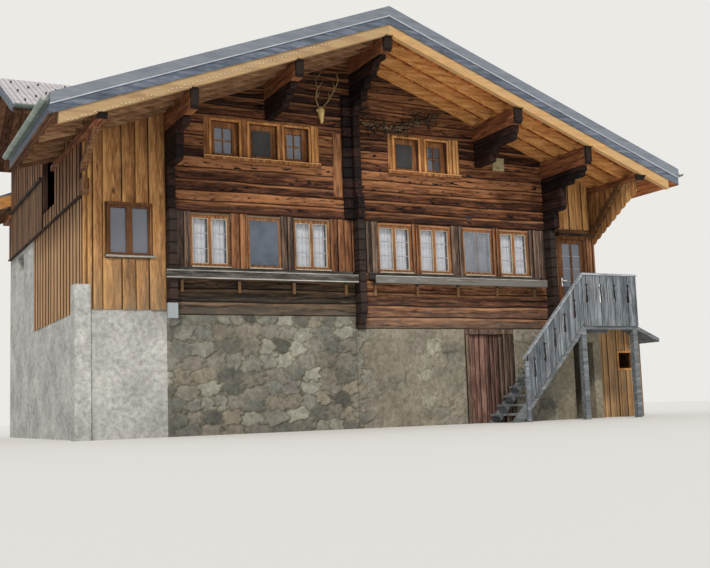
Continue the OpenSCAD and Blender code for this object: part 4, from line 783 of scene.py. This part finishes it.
# Blue-grey where the sky lights the mesh, painted near black as painted shade under the roof, and pale at the
# right.
dark_mesh = mesh_cloth("dark_insect_mesh", "#5d6672", 0.72)
shaded_mesh = mesh_cloth("insect_mesh_painted_shade", "#3c3b3a", 0.86)
light_mesh = mesh_cloth("light_insect_mesh", "#8d939c", 0.35)
dress(dark_mesh, "insect_screens")
lower_net = (low_z, low_top, -0.012)
upper_net = (high_z, high_top, 0.048)
hem = 0.002
for name, (a, b), (z0, z1, y), cloth in (("screen_lower_left", lower_glass[1], lower_net, dark_mesh),
                                         ("screen_lower_right", lower_glass[5], lower_net, light_mesh),
                                         ("screen_upper_left", upper_glass[1], upper_net, shaded_mesh),
                                         ("screen_upper_right", upper_glass[3], upper_net, shaded_mesh)):
    net = boards(name, [((a + hem, b - hem, z0 + hem, z1 - hem), y + 0.003, y, 0.001)], cloth, "screen")
    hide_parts("insect_screens")

# Boards between the windows. Rough upright planks of different widths, split and silvered, nailed
# over the posts of the lower storey.
# Every second run has silvered and split, and the others have stayed brown.
grey_wood = timber("split_upright_planks", "z", ("#1e1612", "#4c3c33", "#7d6858"), grain=0.01, cracks=0.9,
                   knots=0.9, relief=0.008)
brown_wood = timber("brown_upright_planks", "z", ("#301c11", "#6a442c", "#996a47"), grain=0.01, cracks=0.8,
                    knots=0.7, relief=0.006)
dress(grey_wood, "window_boards")
plank_foot, plank_head = 3.302, 4.429
plank_runs = [[-4.045, -4.01, -3.84, -3.745], [-2.855, -2.67, -2.54, -2.505], [-1.755, -1.62, -1.475],
              [-0.63, -0.46, -0.30, -0.13, -0.0775], [0.0775, 0.21, 0.35, 0.497], [1.366, 1.45, 1.53],
              [2.374, 2.57, 2.676], [3.494, 3.58, 3.67], [4.51, 4.62, 4.83, 4.955]]


def planks(name, edges, low, high, back, faces_at, finish, slot, seed, view="front", cuts=(), skip=None,
           fine=False, body=HOUSE):
    """Upright boards side by side, cupped and toned one by one, their depths taken in turn from faces_at."""
    rng = np.random.default_rng(seed)
    lows = low if callable(low) else lambda u: low
    highs = high if callable(high) else lambda u: high
    vertices, faces, tones, creases, sunny = [], [], [], [], []
    for k, (start, end) in enumerate(zip(edges, edges[1:])):
        u0, u1 = start + plank_gap / 2, end - plank_gap / 2
        w = u1 - u0
        side = [0, 0, 0.006, 0.011, 0.021, 0.031, 0.045] if fine else [0, 0, 0.008, 0.03]
        across = [u0 + a for a in side] + [(u0 + u1) / 2] + [u1 - a for a in reversed(side)]
        z0, z1 = min(lows(u0), lows(u1)), max(highs(u0), highs(u1))
        count = max(2, round((z1 - z0) / (0.03 if fine else 0.35)))
        rows = {z0 + (z1 - z0) * i / count for i in range(count + 1)} | {c for c in cuts if z0 < c < z1}
        rows = [min(rows)] + sorted(rows) + [max(rows)]
        face, tone, phase = faces_at[k % len(faces_at)], rng.uniform(-0.5, 0.5), rng.uniform(0, 6.28)
        trim = rng.uniform(0, 0.008)
        # The points nearest to each edge round it off, and the face cups by 2.5 mm.
        base, n = len(vertices), len(across)
        for r, z in enumerate(rows):
            for c, u in enumerate(across):
                edge = min(c, n - 1 - c)
                rise = 0 if edge == 0 or r in (0, len(rows) - 1) else (0.8 if edge == 1 else 1)
                cup = 0.0025 * math.sin(1.7 * z + phase) * (1 - abs(2 * (u - u0) / w - 1))
                depth = back + (face - back) * rise * (1 + cup / 0.02)
                vertices.append(placed(view, u, min(max(z, lows(u)), highs(u) - trim), depth))
                # Painted shade darkens both edges of each board, and a painted highlight lies just inside the
                # edge where the board starts.
                creases.append(1.0 if edge < 2 else (0.45 if edge == 2 else 0.0))
                sunny.append(0.75 if c == 2 else (0.35 if c == 3 else 0.0))
        for r in range(len(rows) - 1):
            for c in range(n - 1):
                if skip and skip((across[c] + across[c + 1]) / 2, (rows[r] + rows[r + 1]) / 2):
                    continue
                a = base + r * n + c
                faces.append((a, a + 1, a + n + 1, a + n))
                tones.append(tone)
    piece = mesh_piece(name, vertices, faces, finish, slot, body)
    paint(piece, "FACE", tone=tones)
    paint(piece, "POINT", crease=creases, sunny=sunny)
    outward(piece, 0.0002)


plank_gap = 0.003
for index, run in enumerate(plank_runs):
    planks(f"window_planks_{index + 1}", run, plank_foot, plank_head, -0.027, (-0.036, -0.048),
           (grey_wood, brown_wood)[index % 2], "log_wood", index)

# Flower shelves. Silvered boards on brackets, with a deep board along the front whose edges are
# paler than the rest: a painted highlight along its top edge, and on the left a pale lip along its foot.
shelf_wood = timber("silvered_shelf_board", "x", ("#1e1c19", "#413e39", "#716d66"), grain=0.007, knots=0.4,
                    veils=(("z", 3.03, 3.04, "#8a6745", 3.0, 0.2),))
dress(shelf_wood, "flower_shelves")
edge_wood = timber("pale_shelf_edge", "x", ("#66635d", "#8d8a84", "#b1aea8"), grain=0.006, knots=0.3)
shelf_edges = [((-4.29, -0.155, 3.188, 3.208), -0.348, -0.357, 0.003, 0.0),
               ((-4.29, -0.155, 3.042, 3.066), -0.348, -0.357, 0.003, 0.4),
               ((0.255, 4.735, 3.188, 3.208), -0.348, -0.359, 0.003, 0.3),
               ((0.255, 4.735, 3.05, 3.184), -0.348, -0.356, 0.003, -1.1)]
boards("shelf_edges", shelf_edges, edge_wood, "grey_board")
boards("window_sills", [((a - 0.04, b + 0.04, plank_foot, 3.33), -0.08, -0.1, 0.004) for a, b in lower_glass],
       sash_paint, "casing_wood")

# Upper windows. Small deep-set sashes with a cross of dark bars, in a casing of boards whose
# edges round each opening are paler.
trim_wood = timber("pale_spruce_trim", "z", ("#7e4f29", "#ae7843", "#cf9d66"), grain=0.006, cracks=0.3,
                   relief=0.002)
# Boards are let 2 mm into what is behind them.
bed = 0.002
trims, cross = [], []
casing_y, trim_width, cross_half = -0.053, 0.045, 0.011
for index, (a, b) in enumerate(upper_glass):
    u0, u1, z0, z1 = a - upper_side, b + upper_side, high_z - upper_side, high_top + upper_side
    around = edging(u0 - trim_width, u1 + trim_width, z0, z1 + trim_width, trim_width)[:3]
    trims += [(edge, casing_y + bed, casing_y - 0.018, 0.004, 0.1 * index - 0.2) for edge in around]
    if index not in (1, 3):
        mid, half = (a + b) / 2, (high_z + high_top) / 2
        cross += [((mid - cross_half, mid + cross_half, high_z, high_top), 0.1, 0.075, 0.003),
                  ((a, b, half - cross_half, half + cross_half), 0.099, 0.078, 0.003)]
trims += [((u0, u1, 5.577, 5.594), -0.03, -0.12, 0.003, 0.5) for u0, u1 in ((-3.42, -0.83), (0.82, 2.68))]
boards("window_trims", trims, trim_wood, "casing_wood")
planks("casing_planks_right", [2.40, 2.49, 2.585, 2.664], 5.6, 6.41, casing_y + bed, (-0.06, -0.07),
       trim_wood, "casing_wood", 61)
planks("casing_planks_left", [-1.03, -0.94, -0.846], 5.6, 6.41, casing_y + bed, (-0.07, -0.06),
       trim_wood, "casing_wood", 62)
boards("window_crosses", cross, casing_wood, "casing_wood")

# Left bay. Sawn spruce boards set upright on a masonry foot; the upper boards of the side hang
# in front of the lower ones, and the corner beam and its brace carry the eave purlin.
# Honey brown and knotty; grey with dirt at its foot, and darker under the eave with a painted shade of the
# overhang.
bay_wood = timber("sawn_spruce_front", "z", ("#55341c", "#93663d", "#c4965e"), grain=0.01, knots=0.8,
                  cracks=0.3, streak=0.4, veils=(("z", 2.4, 4.2, "#7d6f58", 0.95, 0.35),
                                                 ("z", 6.6, 5.3, "#4a281b", 0.8, 0.3)))
# The side's boards are duller and paler at their feet, and the parapet's are a darker copy, a painted shade.
side_tones = ("#3a2418", "#694831", "#946c4b")
side_wood = timber("sawn_spruce_side", "z", side_tones, grain=0.01, knots=0.5,
                   cracks=0.4, veils=(("z", 3.9, 5.0, "#d2a877", 0.95, 0.35),))
shade_wood = timber("spruce_painted_shade", "z", ("#2f1e14", "#553b27", "#765639"), grain=0.01, knots=0.5)
front_siding = timber("sawn_spruce_siding", "z", ("#4c2e18", "#845a35", "#b18550"), grain=0.01,
                      board=("x", 0.21, 0.0, 0.01))
# Behind the side boards, where only the opening shows it, and on the right bay's side, this finish is painted
# near black as painted shade.
side_siding = timber("sawn_spruce_side_siding", "z", side_tones, grain=0.01, board=("y", 0.17, 0.0, 0.01),
                     veils=(("x", ridge_x - 5.855, ridge_x - 5.865, "#2e1e17", 3.0, 0.15),))
dress(front_siding, "left_bay_front", "bay_rear_walls")
dress(side_siding, "left_bay_side")
# The brace is a duller brown than the boards, and the rail is nearly black, dark wood with painted shade.
brace_wood = timber("sawn_spruce_brace", "z", ("#3b2517", "#66472f", "#936f4c"), grain=0.008, knots=0.0)
dress(brace_wood, "left_bay_bracket")
rail_wood = timber("near_black_rail", "y", ("#17110e", "#2e221b", "#4c3a2d"), grain=0.006, knots=0.0)
dress(rail_wood, "left_bay_rail")
bay_left, bay_right, eave_foot = -5.83, -4.2, 5.665


def under_boards(x):
    """Underside of the roof boards, in the house's own metres."""
    return roof_top(x) - skin - 0.004


def within(hole):
    """A test for places inside a rectangle of four limits."""
    return lambda u, v: hole[0] < u < hole[1] and hole[2] < v < hole[3]


def random_edges(seed, start, end, least, most, fixed=()):
    """Joints of boards of uneven width, and fixed ones that take the place of any close to them."""
    rng = np.random.default_rng(seed)
    edges = [start]
    while edges[-1] < end - least - 0.05:
        edges.append(edges[-1] + rng.uniform(least, most))
    fixed = [start, end] + list(fixed)
    return sorted(fixed + [e for e in edges if all(abs(e - f) > 0.05 for f in fixed)])


bay_window = (-5.36, -4.465, 3.43, 4.53)
planks("bay_front_boards", [bay_left, -5.735, -5.63, -5.44, -5.07, -4.80, -4.54, bay_right], 2.45,
       lambda u: eave_foot if u < -5.73 else under_boards(u), bed, (-0.034, -0.016), bay_wood, "bay_board", 8,
       cuts=bay_window[2:], skip=within(bay_window))
planks("bay_side_lower_boards", random_edges(3, 0.0, 5.13, 0.12, 0.2), 2.45, 4.575, -5.828, (-5.836, -5.85),
       side_wood, "bay_board", 31, "side")
opening = (2.41, 3.75, 4.92, 6.24)


def side_top(u):
    """Head of the side boards: the eave purlin, or the foot of the cross roof."""
    if wing_front < u < wing_rear:
        return wing_eave - 0.22 + wing_fall * (wing_half - abs(u - wing_mid))
    return eave_foot


fixed_joints = (opening[0], wing_front, opening[1], wing_rear)
planks("bay_side_upper_boards", random_edges(4, 0.0, 8.54, 0.12, 0.2, fixed_joints), 4.585, side_top,
       -5.868, (-5.876, -5.89), side_wood, "bay_board", 32, "side", opening[2:], within(opening))
planks("bay_parapet_boards", random_edges(5, opening[1], 7.95, 0.3, 0.42), 4.6, 5.72, -5.885, (-5.903,),
       shade_wood, "bay_board", 33, "side")
# The drip board takes the rail's near black as a painted shadow line under the upper boards.
boards("bay_drip_board", [((0.0, 8.54, 4.578, 4.606), -5.87, -5.912, 0.004)], rail_wood, "bay_board", "side")
bay_trim = [(edge, 0.0, -0.045, 0.004) for edge in ((-5.36, -5.33, 3.47, 4.5), (-4.5, -4.465, 3.47, 4.5),
                                                    (-5.36, -4.465, 4.48, 4.53))]
boards("bay_window_trim", bay_trim, casing_wood, "casing_wood")
boards("bay_window_sill", [((-5.395, -4.42, 3.458, 3.496), 0.0, -0.085, 0.004)], edge_wood, "grey_board")

# Right bay. The same sawn boards under the roof, a glazed door below a small hood, and a boarded
# cheek with a scalloped edge that shelters the landing.
dress(front_siding, "right_bay_front", "shed_walls")
dress(side_siding, "right_bay_side")
# Fresh honey coloured boards, with painted shade on the side that faces the door.
cheek_wood = timber("sawn_spruce_cheek", "z", ("#6a4526", "#9f7245", "#c99c66"), grain=0.01, knots=0.4,
                    board=("y", 1.65 / 9, front_y, 0.008),
                    veils=(("x", ridge_x + 6.42, ridge_x + 6.424, "#2c1f17", 3.0, 0.3),))
dress(cheek_wood, "wind_cheek")
planks("hood_boards", [5.11, 5.35, 5.56, 5.74, 5.95, 6.14, 6.32], 4.50, under_boards, bed,
       (-0.016, -0.03), bay_wood, "bay_board", 34)
# The hood is brown wood painted dark as painted shade, and paler on its upper ledge as a painted highlight.
hood_wood = timber("hood_shade_and_highlight", "x", ("#140e0a", "#38271b", "#6b4f3a"), grain=0.006, knots=0.0)
boards("hood_ledges", [((5.326, 6.322, 4.331, 4.404), -0.108, -0.118, 0.006, -0.6),
                       ((5.376, 6.302, 4.412, 4.486), -0.058, -0.066, 0.006, 0.4)], hood_wood, "bay_board")
planks("door_side_boards", [6.206, 6.30, 6.39, 6.45], 2.2, 4.33, bed, (-0.03, -0.014), brown_wood,
       "bay_board", 35)
planks("door_left_board", [5.112, 5.346], 2.2, 4.33, bed, (-0.02,), brown_wood, "bay_board", 36)

# Entrance door. An oiled spruce leaf, glazed from knee height in four rows of panes between fine
# grey-white bars, with a white lever handle.
# Oil gives the leaf an even dark brown.
door_wood = timber("oiled_spruce_door", "z", ("#34200f", "#5b3b24", "#825a38"), grain=0.006, cracks=0.3,
                   relief=0.002)
dress(door_wood, "entrance_frame", "entrance_door")
leaf_low, leaf_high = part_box("entrance_door")
leaf_u0, leaf_u1 = leaf_low.x - ridge_x, leaf_high.x - ridge_x
leaf_mid = (leaf_u0 + leaf_u1) / 2
door_bars = []
pane_low, pane_top = 2.95, leaf_high.z - 0.095
for u0, u1 in ((leaf_u0 + 0.095, leaf_mid - 0.025), (leaf_mid + 0.025, leaf_u1 - 0.095)):
    for k in range(1, 4):
        z = pane_low + k * (pane_top - pane_low) / 4
        door_bars.append(((u0, u1, z - bar_half, z + bar_half), 0.05, 0.04, 0.002))
boards("door_bars", door_bars, bar_paint, "casing_wood", body="entrance_leaf")
lever = [((leaf_u0 + 0.03, leaf_u0 + 0.07, 3.13, 3.33), 0.03, 0.022, 0.003),
         ((leaf_u0 + 0.035, leaf_u0 + 0.06, 3.25, 3.275), 0.022, -0.01, 0.003),
         ((leaf_u0 + 0.035, leaf_u0 + 0.16, 3.25, 3.275), -0.008, -0.024, 0.005)]
# Moulded nylon, smooth and clean, the whitest thing on the front.
white_plastic = blank("white_moulded_nylon")
surface(white_plastic, {"Base Color": linear("#dcdcd8"), "Roughness": 0.35})
boards("door_lever", lever, white_plastic, "casing_wood", body="entrance_leaf")

# Cellar door. Red-brown weathered boards on ledges, between split old posts that carry a rough
# lintel.
# Boards with a dull red in them, split along the grain.
leaf_wood = timber("red_brown_door_boards", "z", ("#2a1c18", "#5e433b", "#8a6a5d"), grain=0.008, cracks=0.8)
dress(leaf_wood, "cellar_door")
dress(grey_wood, "cellar_frame")
cellar_low, cellar_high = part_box("cellar_door")
leaf_u = cellar_low.x - ridge_x
face_y = cellar_low.y - front_y
planks("cellar_door_boards", [leaf_u + e for e in (0.0, 0.17, 0.29, 0.44, 0.57, 0.68, 0.795)], 0.01,
       cellar_high.z - 0.004, face_y + bed, (face_y - 0.016, face_y - 0.01), leaf_wood, "door_wood", 37,
       body="cellar_leaf")
for index, (u0, u1, y) in enumerate(((2.627, 2.734, -0.01), (3.545, 3.627, 0.05), (3.627, 3.79, -0.01),
                                     (3.79, 3.932, -0.01))):
    planks(f"cellar_post_{index + 1}", [u0, u1], 0.0, 1.976, y + bed, (y - 0.026,), grey_wood,
           "weathered_wood", 50 + index)
boards("cellar_lintel", [((2.63, 3.93, 1.98, 2.098), -0.008, -0.035, 0.008, 0.3)], grey_wood,
       "weathered_wood")

# Stair and landing. Silver-grey spruce: boards with keyhole slots, a flat handrail on top, open
# treads between two strings, and square posts.
# Bare spruce turned silver-grey by rain, and painted nearly black inside the slots as painted shade.
silver_tones = ("#3d4247", "#5f6469", "#858a8f")
stair_wood = timber("silvered_spruce_upright", "z", silver_tones, grain=0.008, knots=0.4)
slot_shade = timber("shaded_slot_spruce", "z", silver_tones, grain=0.008, knots=0.4,
                    board=("x", 0.2, 0.0, 0.008),
                    veils=(("y", front_y - 1.1235, front_y - 1.1015, "#16171a", 6.0, 0.1),))
tread_wood = timber("silvered_spruce_lying", "x", ("#414547", "#636769", "#898d8f"), grain=0.007, knots=0.3)
dress(slot_shade, "landing_parapet", "stair_parapet")
dress(tread_wood, "landing", "stair_strings", "stair_treads")
landing_u, landing_v, stair_rise, parapet_face = 5.04, 2.2, 1.1, -1.125
slot_foot, slot_head, slot_half, slot_rise = 0.038, 0.013, 0.034, 0.37


def in_slot(u, v, middles):
    """Keyhole slots: a taper with a round head, given by middle and foot."""
    for mid, foot in middles:
        up = v - foot
        half = slot_foot + (slot_head - slot_foot) * up / slot_rise
        head = math.hypot(u - mid, up - slot_rise - 0.02) < slot_half
        if head or (0 < up < slot_rise and abs(u - mid) < half):
            return True
    return False


def nosing(u):
    """Line over the edges of the treads."""
    return landing_v + stair_rise * (u - landing_u)


# The handrail is rubbed paler than the boards under it.
cap_wood = timber("bleached_handrail", "x", ("#565b60", "#7f8489", "#a6abaf"), grain=0.006, knots=0.2)
slant = [(u, nosing(u) + rise) for u, rise in ((3.413, 0.943), (5.1, 0.943), (5.1, 0.992), (3.413, 0.992))]
caps = [(outline, -1.053, -1.158, 0.005, tone) for outline, tone in (((5.098, 6.692, 3.243, 3.292), 0.4),
                                                                     (slant, 0.2))]
caps.append(((3.413, 3.502, 0.0, 1.3145), -1.098, -1.158, 0.005, -0.4))
boards("handrail_caps", caps, cap_wood, "stair_wood")
landing_joints = [landing_u + 0.175 + 0.4004 * i for i in range(4)]
stair_joints = [landing_u - 0.196 - 0.294 * i for i in range(5)]
landing_slots = [(mid, landing_v + 0.43) for mid in landing_joints]
stair_slots = [(mid, nosing(mid) + 0.285) for mid in stair_joints]
parapet_faces = (parapet_face - 0.011, parapet_face - 0.014)
planks("landing_boards", [5.1] + sorted(landing_joints + [m + 0.2 for m in landing_joints]) + [6.66],
       2.09, 3.25, parapet_face + 0.001, parapet_faces, stair_wood, "stair_wood", 38,
       skip=lambda u, v: in_slot(u, v, landing_slots), fine=True)
planks("stair_boards", sorted([3.5, 5.1] + stair_joints + [m + 0.147 for m in stair_joints]),
       lambda u: nosing(u) - 0.11, lambda u: nosing(u) + 0.95, parapet_face + 0.001, parapet_faces,
       stair_wood, "stair_wood", 39, skip=lambda u, v: in_slot(u, v, stair_slots), fine=True)

# Shed. A lean-to of upright boards beside the right bay, with a board roof and a small window
# opening with a pale frame.
dress(tread_wood, "shed_roof")
shed_frame = (7.38, 7.87, 1.14, 1.62)
shed_left, shed_top, shed_fall = 6.45, 2.625, 0.435
boards("shed_window_frame", [(edge, 0.502, 0.478, 0.003) for edge in edging(*shed_frame, 0.05)], trim_wood,
       "casing_wood")
planks("shed_front_boards", random_edges(6, 6.452, 8.14, 0.13, 0.2, shed_frame[:2]), 0.0,
       lambda u: shed_top - shed_fall * (u - shed_left), 0.502, (0.482, 0.49), bay_wood, "bay_board", 40,
       cuts=shed_frame[2:], skip=within(shed_frame))

# Gable ornaments. The black log ends left of the middle wall, partly a painted shade of the wall's side, a
# plank over the joint beside them, a small iron vent, a blank board, the bleached skull and antlers of a
# stag, and a garland of roots.
rng = np.random.default_rng(66)
# Black log faces left of the middle wall stand for its side face, black partly as painted shade.
log_sides = []
for k in range(12):
    z = upper_z + 0.005 + k * upper_course
    log_sides.append(((-0.3 + rng.uniform(0, 0.012), -0.079, z, z + upper_course - 0.006), -0.03,
                      -0.11 - rng.uniform(0, 0.015), 0.018, rng.uniform(-0.6, 0.4)))
boards("middle_log_sides", log_sides, blackened, "dark_log")
boards("cover_plank", [((-0.52, -0.33, 4.91, 6.30), -0.03, -0.062, 0.006, 0.4),
                       ((-0.33, -0.30, 4.91, 6.30), -0.03, -0.05, 0.006, -0.4)], brown_wood, "log_wood")
boards("vent_slot", [((2.80, 2.95, 4.60, 4.665), -0.03, -0.048, 0.004)], iron, "dark_log")
# Old bone, cream with brown stains of 30 mm.
bone = blank("bleached_bone")
on_bone = add(bone, "TexCoord").outputs["Object"]
stains = add(bone, "TexNoise", {"Vector": on_bone, "Scale": 30.0, "Detail": 3.0})
stained = add(bone, "MapRange", (stains, 0.35, 0.65, 0.0, 0.7))
surface(bone, {"Base Color": add(bone, "Mix", {0: stained, 6: linear("#d3b878"), 7: linear("#8f7445")},
                                 data_type="RGBA"), "Roughness": 0.6})
# Horn, grey-brown and streaked along its length.
horn = timber("weathered_antler", "z", ("#4a3a2a", "#75603f", "#a08a62"), grain=0.004, knots=0.0, cracks=0.2,
              relief=0.002)
skull_x = -0.78
skull = [[(skull_x, -0.05, 6.84, 0.05), (skull_x, -0.07, 6.78, 0.075), (skull_x, -0.09, 6.70, 0.07),
          (skull_x, -0.1, 6.60, 0.048), (skull_x, -0.1, 6.52, 0.034), (skull_x, -0.09, 6.48, 0.018)],
         [(skull_x - 0.06, -0.06, 6.76, 0.03), (skull_x - 0.09, -0.06, 6.80, 0.012)],
         [(skull_x + 0.06, -0.06, 6.76, 0.03), (skull_x + 0.09, -0.06, 6.80, 0.012)]]
tubes("stag_skull", skull, bone, "casing_wood", 10)
antlers = []
for turn, reach in ((-1, 0.17), (1, 0.36)):
    beam = [(skull_x + turn * out, y, z)
            for out, y, z in ((0.035, -0.06, 6.82), (0.1 + reach * 0.2, -0.12, 7.0),
                              (reach * 0.75, -0.2, 7.2), (reach, -0.22, 7.4), (reach * 1.02, -0.2, 7.56))]
    antlers.append([(*q, 0.02 - 0.0032 * i) for i, q in enumerate(beam)])
    for i, lean in ((1, 0.05), (2, 0.08), (3, 0.1)):
        x, y, z = beam[i]
        antlers.append([(x, y, z, 0.012), (x - turn * lean * 0.4, y - 0.08, z + 0.05, 0.009),
                        (x - turn * lean, y - 0.11, z + 0.15, 0.004)])
tubes("stag_antlers", antlers, horn, "weathered_wood")
rng = np.random.default_rng(77)
roots = []
for i in range(110):
    t = (i % 55) / 54
    x, z = 0.14 + 1.85 * t, 6.98 - 0.5 * math.sin(math.pi * (0.3 + 0.62 * t)) + 0.08 * t
    heading = rng.uniform(-0.5, 0.5) + (0 if i % 3 else rng.uniform(-1.4, 1.4))
    path = []
    for k in range(6):
        path.append((x, -0.07 - 0.05 * (k % 2) - 0.05 * rng.random(), z, 0.016 - 0.0022 * k))
        heading += rng.uniform(-0.8, 0.8)
        x += 0.06 * math.cos(heading)
        z += 0.06 * math.sin(heading)
    roots.append(path)
for i in range(16):
    z = 7.5 - 0.045 * i
    roots.append([(0.11 + 0.03 * (i % 2), -0.08, z, 0.014), (0.2 + 0.015 * i, -0.14, z - 0.05, 0.011),
                  (0.16 + 0.08 * rng.random(), -0.09, z - 0.14, 0.006)])
# Roots without bark, dark with dry pale streaks.
root_wood = timber("bare_dry_roots", "x", ("#140d09", "#35261b", "#8a745c"), grain=0.03, knots=0.0,
                   cracks=0.0)
tubes("root_garland", roots, root_wood, "weathered_wood", 5)
# A bare board, straw coloured against the red logs.
plaque_wood = timber("bare_plaque_board", "x", ("#6d6248", "#8e815f", "#a89b78"), grain=0.006)
boards("blank_plaque", [((3.59, 3.91, 5.79, 6.09), -0.03, -0.06, 0.006)], plaque_wood, "casing_wood")

# Meter box. Grey enamelled steel on the foot of the left log ends, smooth and even beside the
# rough wood.
enamel = blank("grey_enamelled_steel")
surface(enamel, {"Base Color": linear("#8a9294"), "Roughness": 0.4})
dress(enamel, "meter_box")

# Light. A broad soft sun from the front left, a pale sky, and a wide lamp flat on the floor that
# stands for the light thrown back by the ground. The background is white by the colour that the
# camera, glass and metal see, not by more light.
world = bpy.data.worlds.new("studio")
world.use_nodes = True
bpy.context.scene.world = world
world.node_tree.nodes.clear()
rays = add(world, "LightPath").outputs
seen = add(world, "Math", (rays["Is Camera Ray"], rays["Is Glossy Ray"]), "MAXIMUM")
seen = add(world, "Math", (seen, rays["Is Transmission Ray"]), "MAXIMUM")
sky = add(world, "Background", {"Color": linear("#eef2f8"), "Strength": 0.8})
backdrop = add(world, "Background", {"Color": linear("#eceae6"), "Strength": 1.0})
add(world, "OutputWorld", (add(world, "MixShader", (seen, sky, backdrop)),))
for name, kind, place, turn, settings in (
        ("low_fill", "AREA", (0, -13, 0.04), (180, 0, 0),
         {"shape": "RECTANGLE", "size": 26, "size_y": 11, "energy": 1100, "color": (1.0, 0.96, 0.9)}),
        ("key_sun", "SUN", (0, 0, 0), (50, 0, -30),
         {"energy": 2.2, "angle": math.radians(8), "color": (1.0, 0.95, 0.88)})):
    lamp = bpy.data.lights.new(name, kind)
    for key, value in settings.items():
        setattr(lamp, key, value)
    light = bpy.data.objects.new(name, lamp)
    light.location = place
    light.rotation_euler = [math.radians(angle) for angle in turn]
    for ray in ("camera", "glossy", "transmission"):
        setattr(light, "visible_" + ray, kind == "SUN")
    bpy.context.scene.collection.objects.link(light)

bpy.context.scene.view_settings.view_transform = "Standard"
